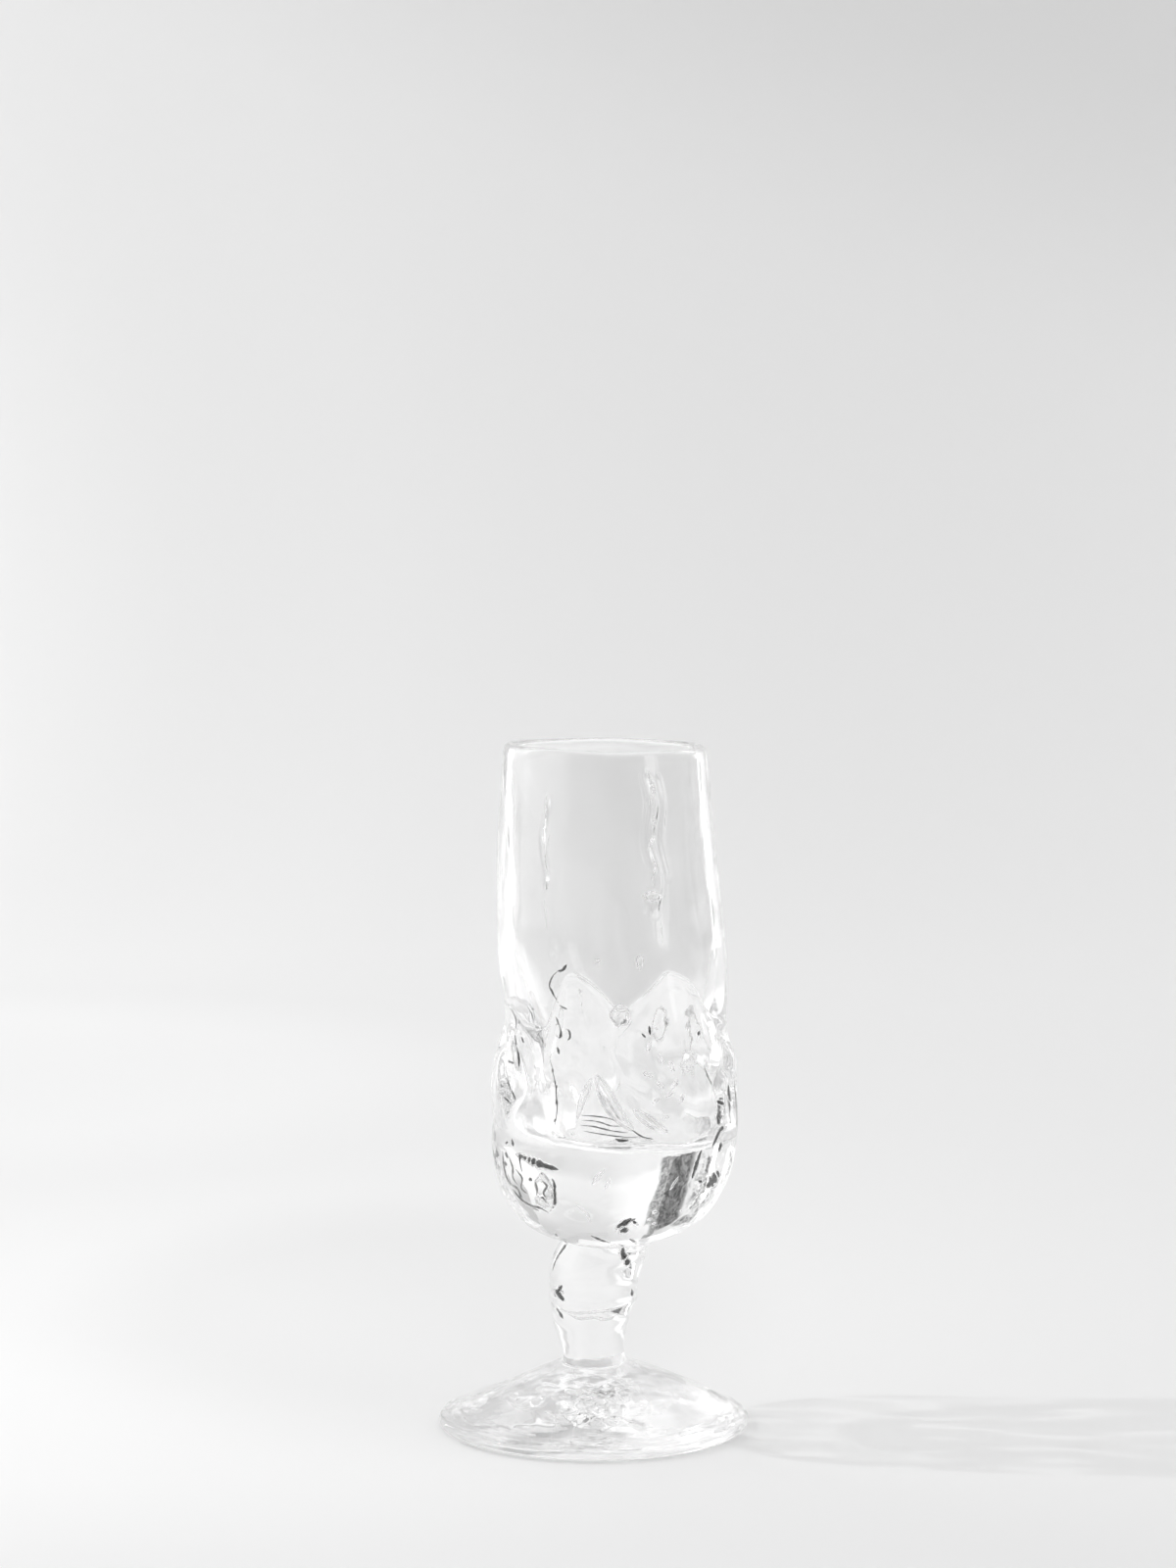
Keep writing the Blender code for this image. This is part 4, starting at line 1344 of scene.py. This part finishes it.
def add_world():
    world = bpy.data.worlds.new("studio_glow")
    world.use_nodes = True
    nodes = world.node_tree.nodes
    shades = Shades(world.node_tree)
    place = nodes.new("ShaderNodeTexCoord").outputs["Generated"]
    straight, turned, camera = shades.rays()
    dark = mottled(shades, place, DARK_LEVELS)

    def blend(share, below, level):
        node = nodes.new("ShaderNodeMix")
        for name, value in zip(("Factor", "A", "B"), (share, below, level)):
            shades.feed(node.inputs[name], value)
        return node.outputs["Result"]

    def spot(azimuth, elevation, inner, outer, most):
        towards = shades.along(place, direction(azimuth, elevation))
        edge = math.cos(math.radians(outer))
        return shades.ramp(towards, edge, math.cos(math.radians(inner)), 0.0, most, smooth=True)

    light = blend(turned, blend(straight, GLOW_LEVEL, STRAIGHT_LEVEL), TURNED_LEVEL)
    for spots, most in ((GLOW_SPOTS, 1.0), (TURNED_SPOTS, turned), (ROOM_SPOTS, shades.rest(straight))):
        for azimuth, elevation, inner, outer, level in spots:
            light = blend(spot(azimuth, elevation, inner, outer, most), light, level)
    for azimuth, elevation, level in DARK_SPOTS:
        share = spot(azimuth, elevation, DARK_INNER, DARK_OUTER, straight)
        light = blend(share, light, shades.times(dark, level))
    light = blend(camera, light, CAMERA_GLOW)
    shades.feed(nodes["Background"].inputs["Color"], light)
    bpy.context.scene.world = world


def add_light():
    add_key_lamp()
    for panel in PANELS:
        add_panel(*panel)
    add_world()


# Camera, from the photo of 1200 x 1600 pixels
CAMERA_PLACE = (-0.0014, -0.980, 0.2457)
CAMERA_PITCH = math.radians(5.54)
FOCAL_PIXELS = 4345
PHOTO_HEIGHT = 1600
SENSOR = 36.0


def add_camera():
    camera = bpy.data.cameras.new("photo_camera")
    camera.sensor_width = SENSOR
    camera.lens = FOCAL_PIXELS / PHOTO_HEIGHT * SENSOR
    camera.clip_start = 0.01
    item = bpy.data.objects.new("photo_camera", camera)
    item.location = CAMERA_PLACE
    item.rotation_euler = (math.pi / 2 - CAMERA_PITCH, 0, 0)
    bpy.context.scene.collection.objects.link(item)
    bpy.context.scene.camera = item


# Enough bounces for light to cross the walls, the fused seams and the solid base
BOUNCES = 96
SEE_THROUGH_BOUNCES = 64
SHARP_GLOSS_BLUR = 1.0
BRIGHTEST_BOUNCE = 3.0


def set_render_limits():
    scene = bpy.context.scene
    scene.view_settings.view_transform = "Standard"
    scene.cycles.max_bounces = BOUNCES
    scene.cycles.transmission_bounces = BOUNCES
    scene.cycles.glossy_bounces = BOUNCES
    scene.cycles.transparent_max_bounces = SEE_THROUGH_BOUNCES
    scene.cycles.caustics_reflective = False
    scene.cycles.caustics_refractive = True
    scene.cycles.blur_glossy = SHARP_GLOSS_BLUR
    scene.cycles.sample_clamp_indirect = BRIGHTEST_BOUNCE


build_goblet()
add_stage()
add_light()
add_camera()
set_render_limits()
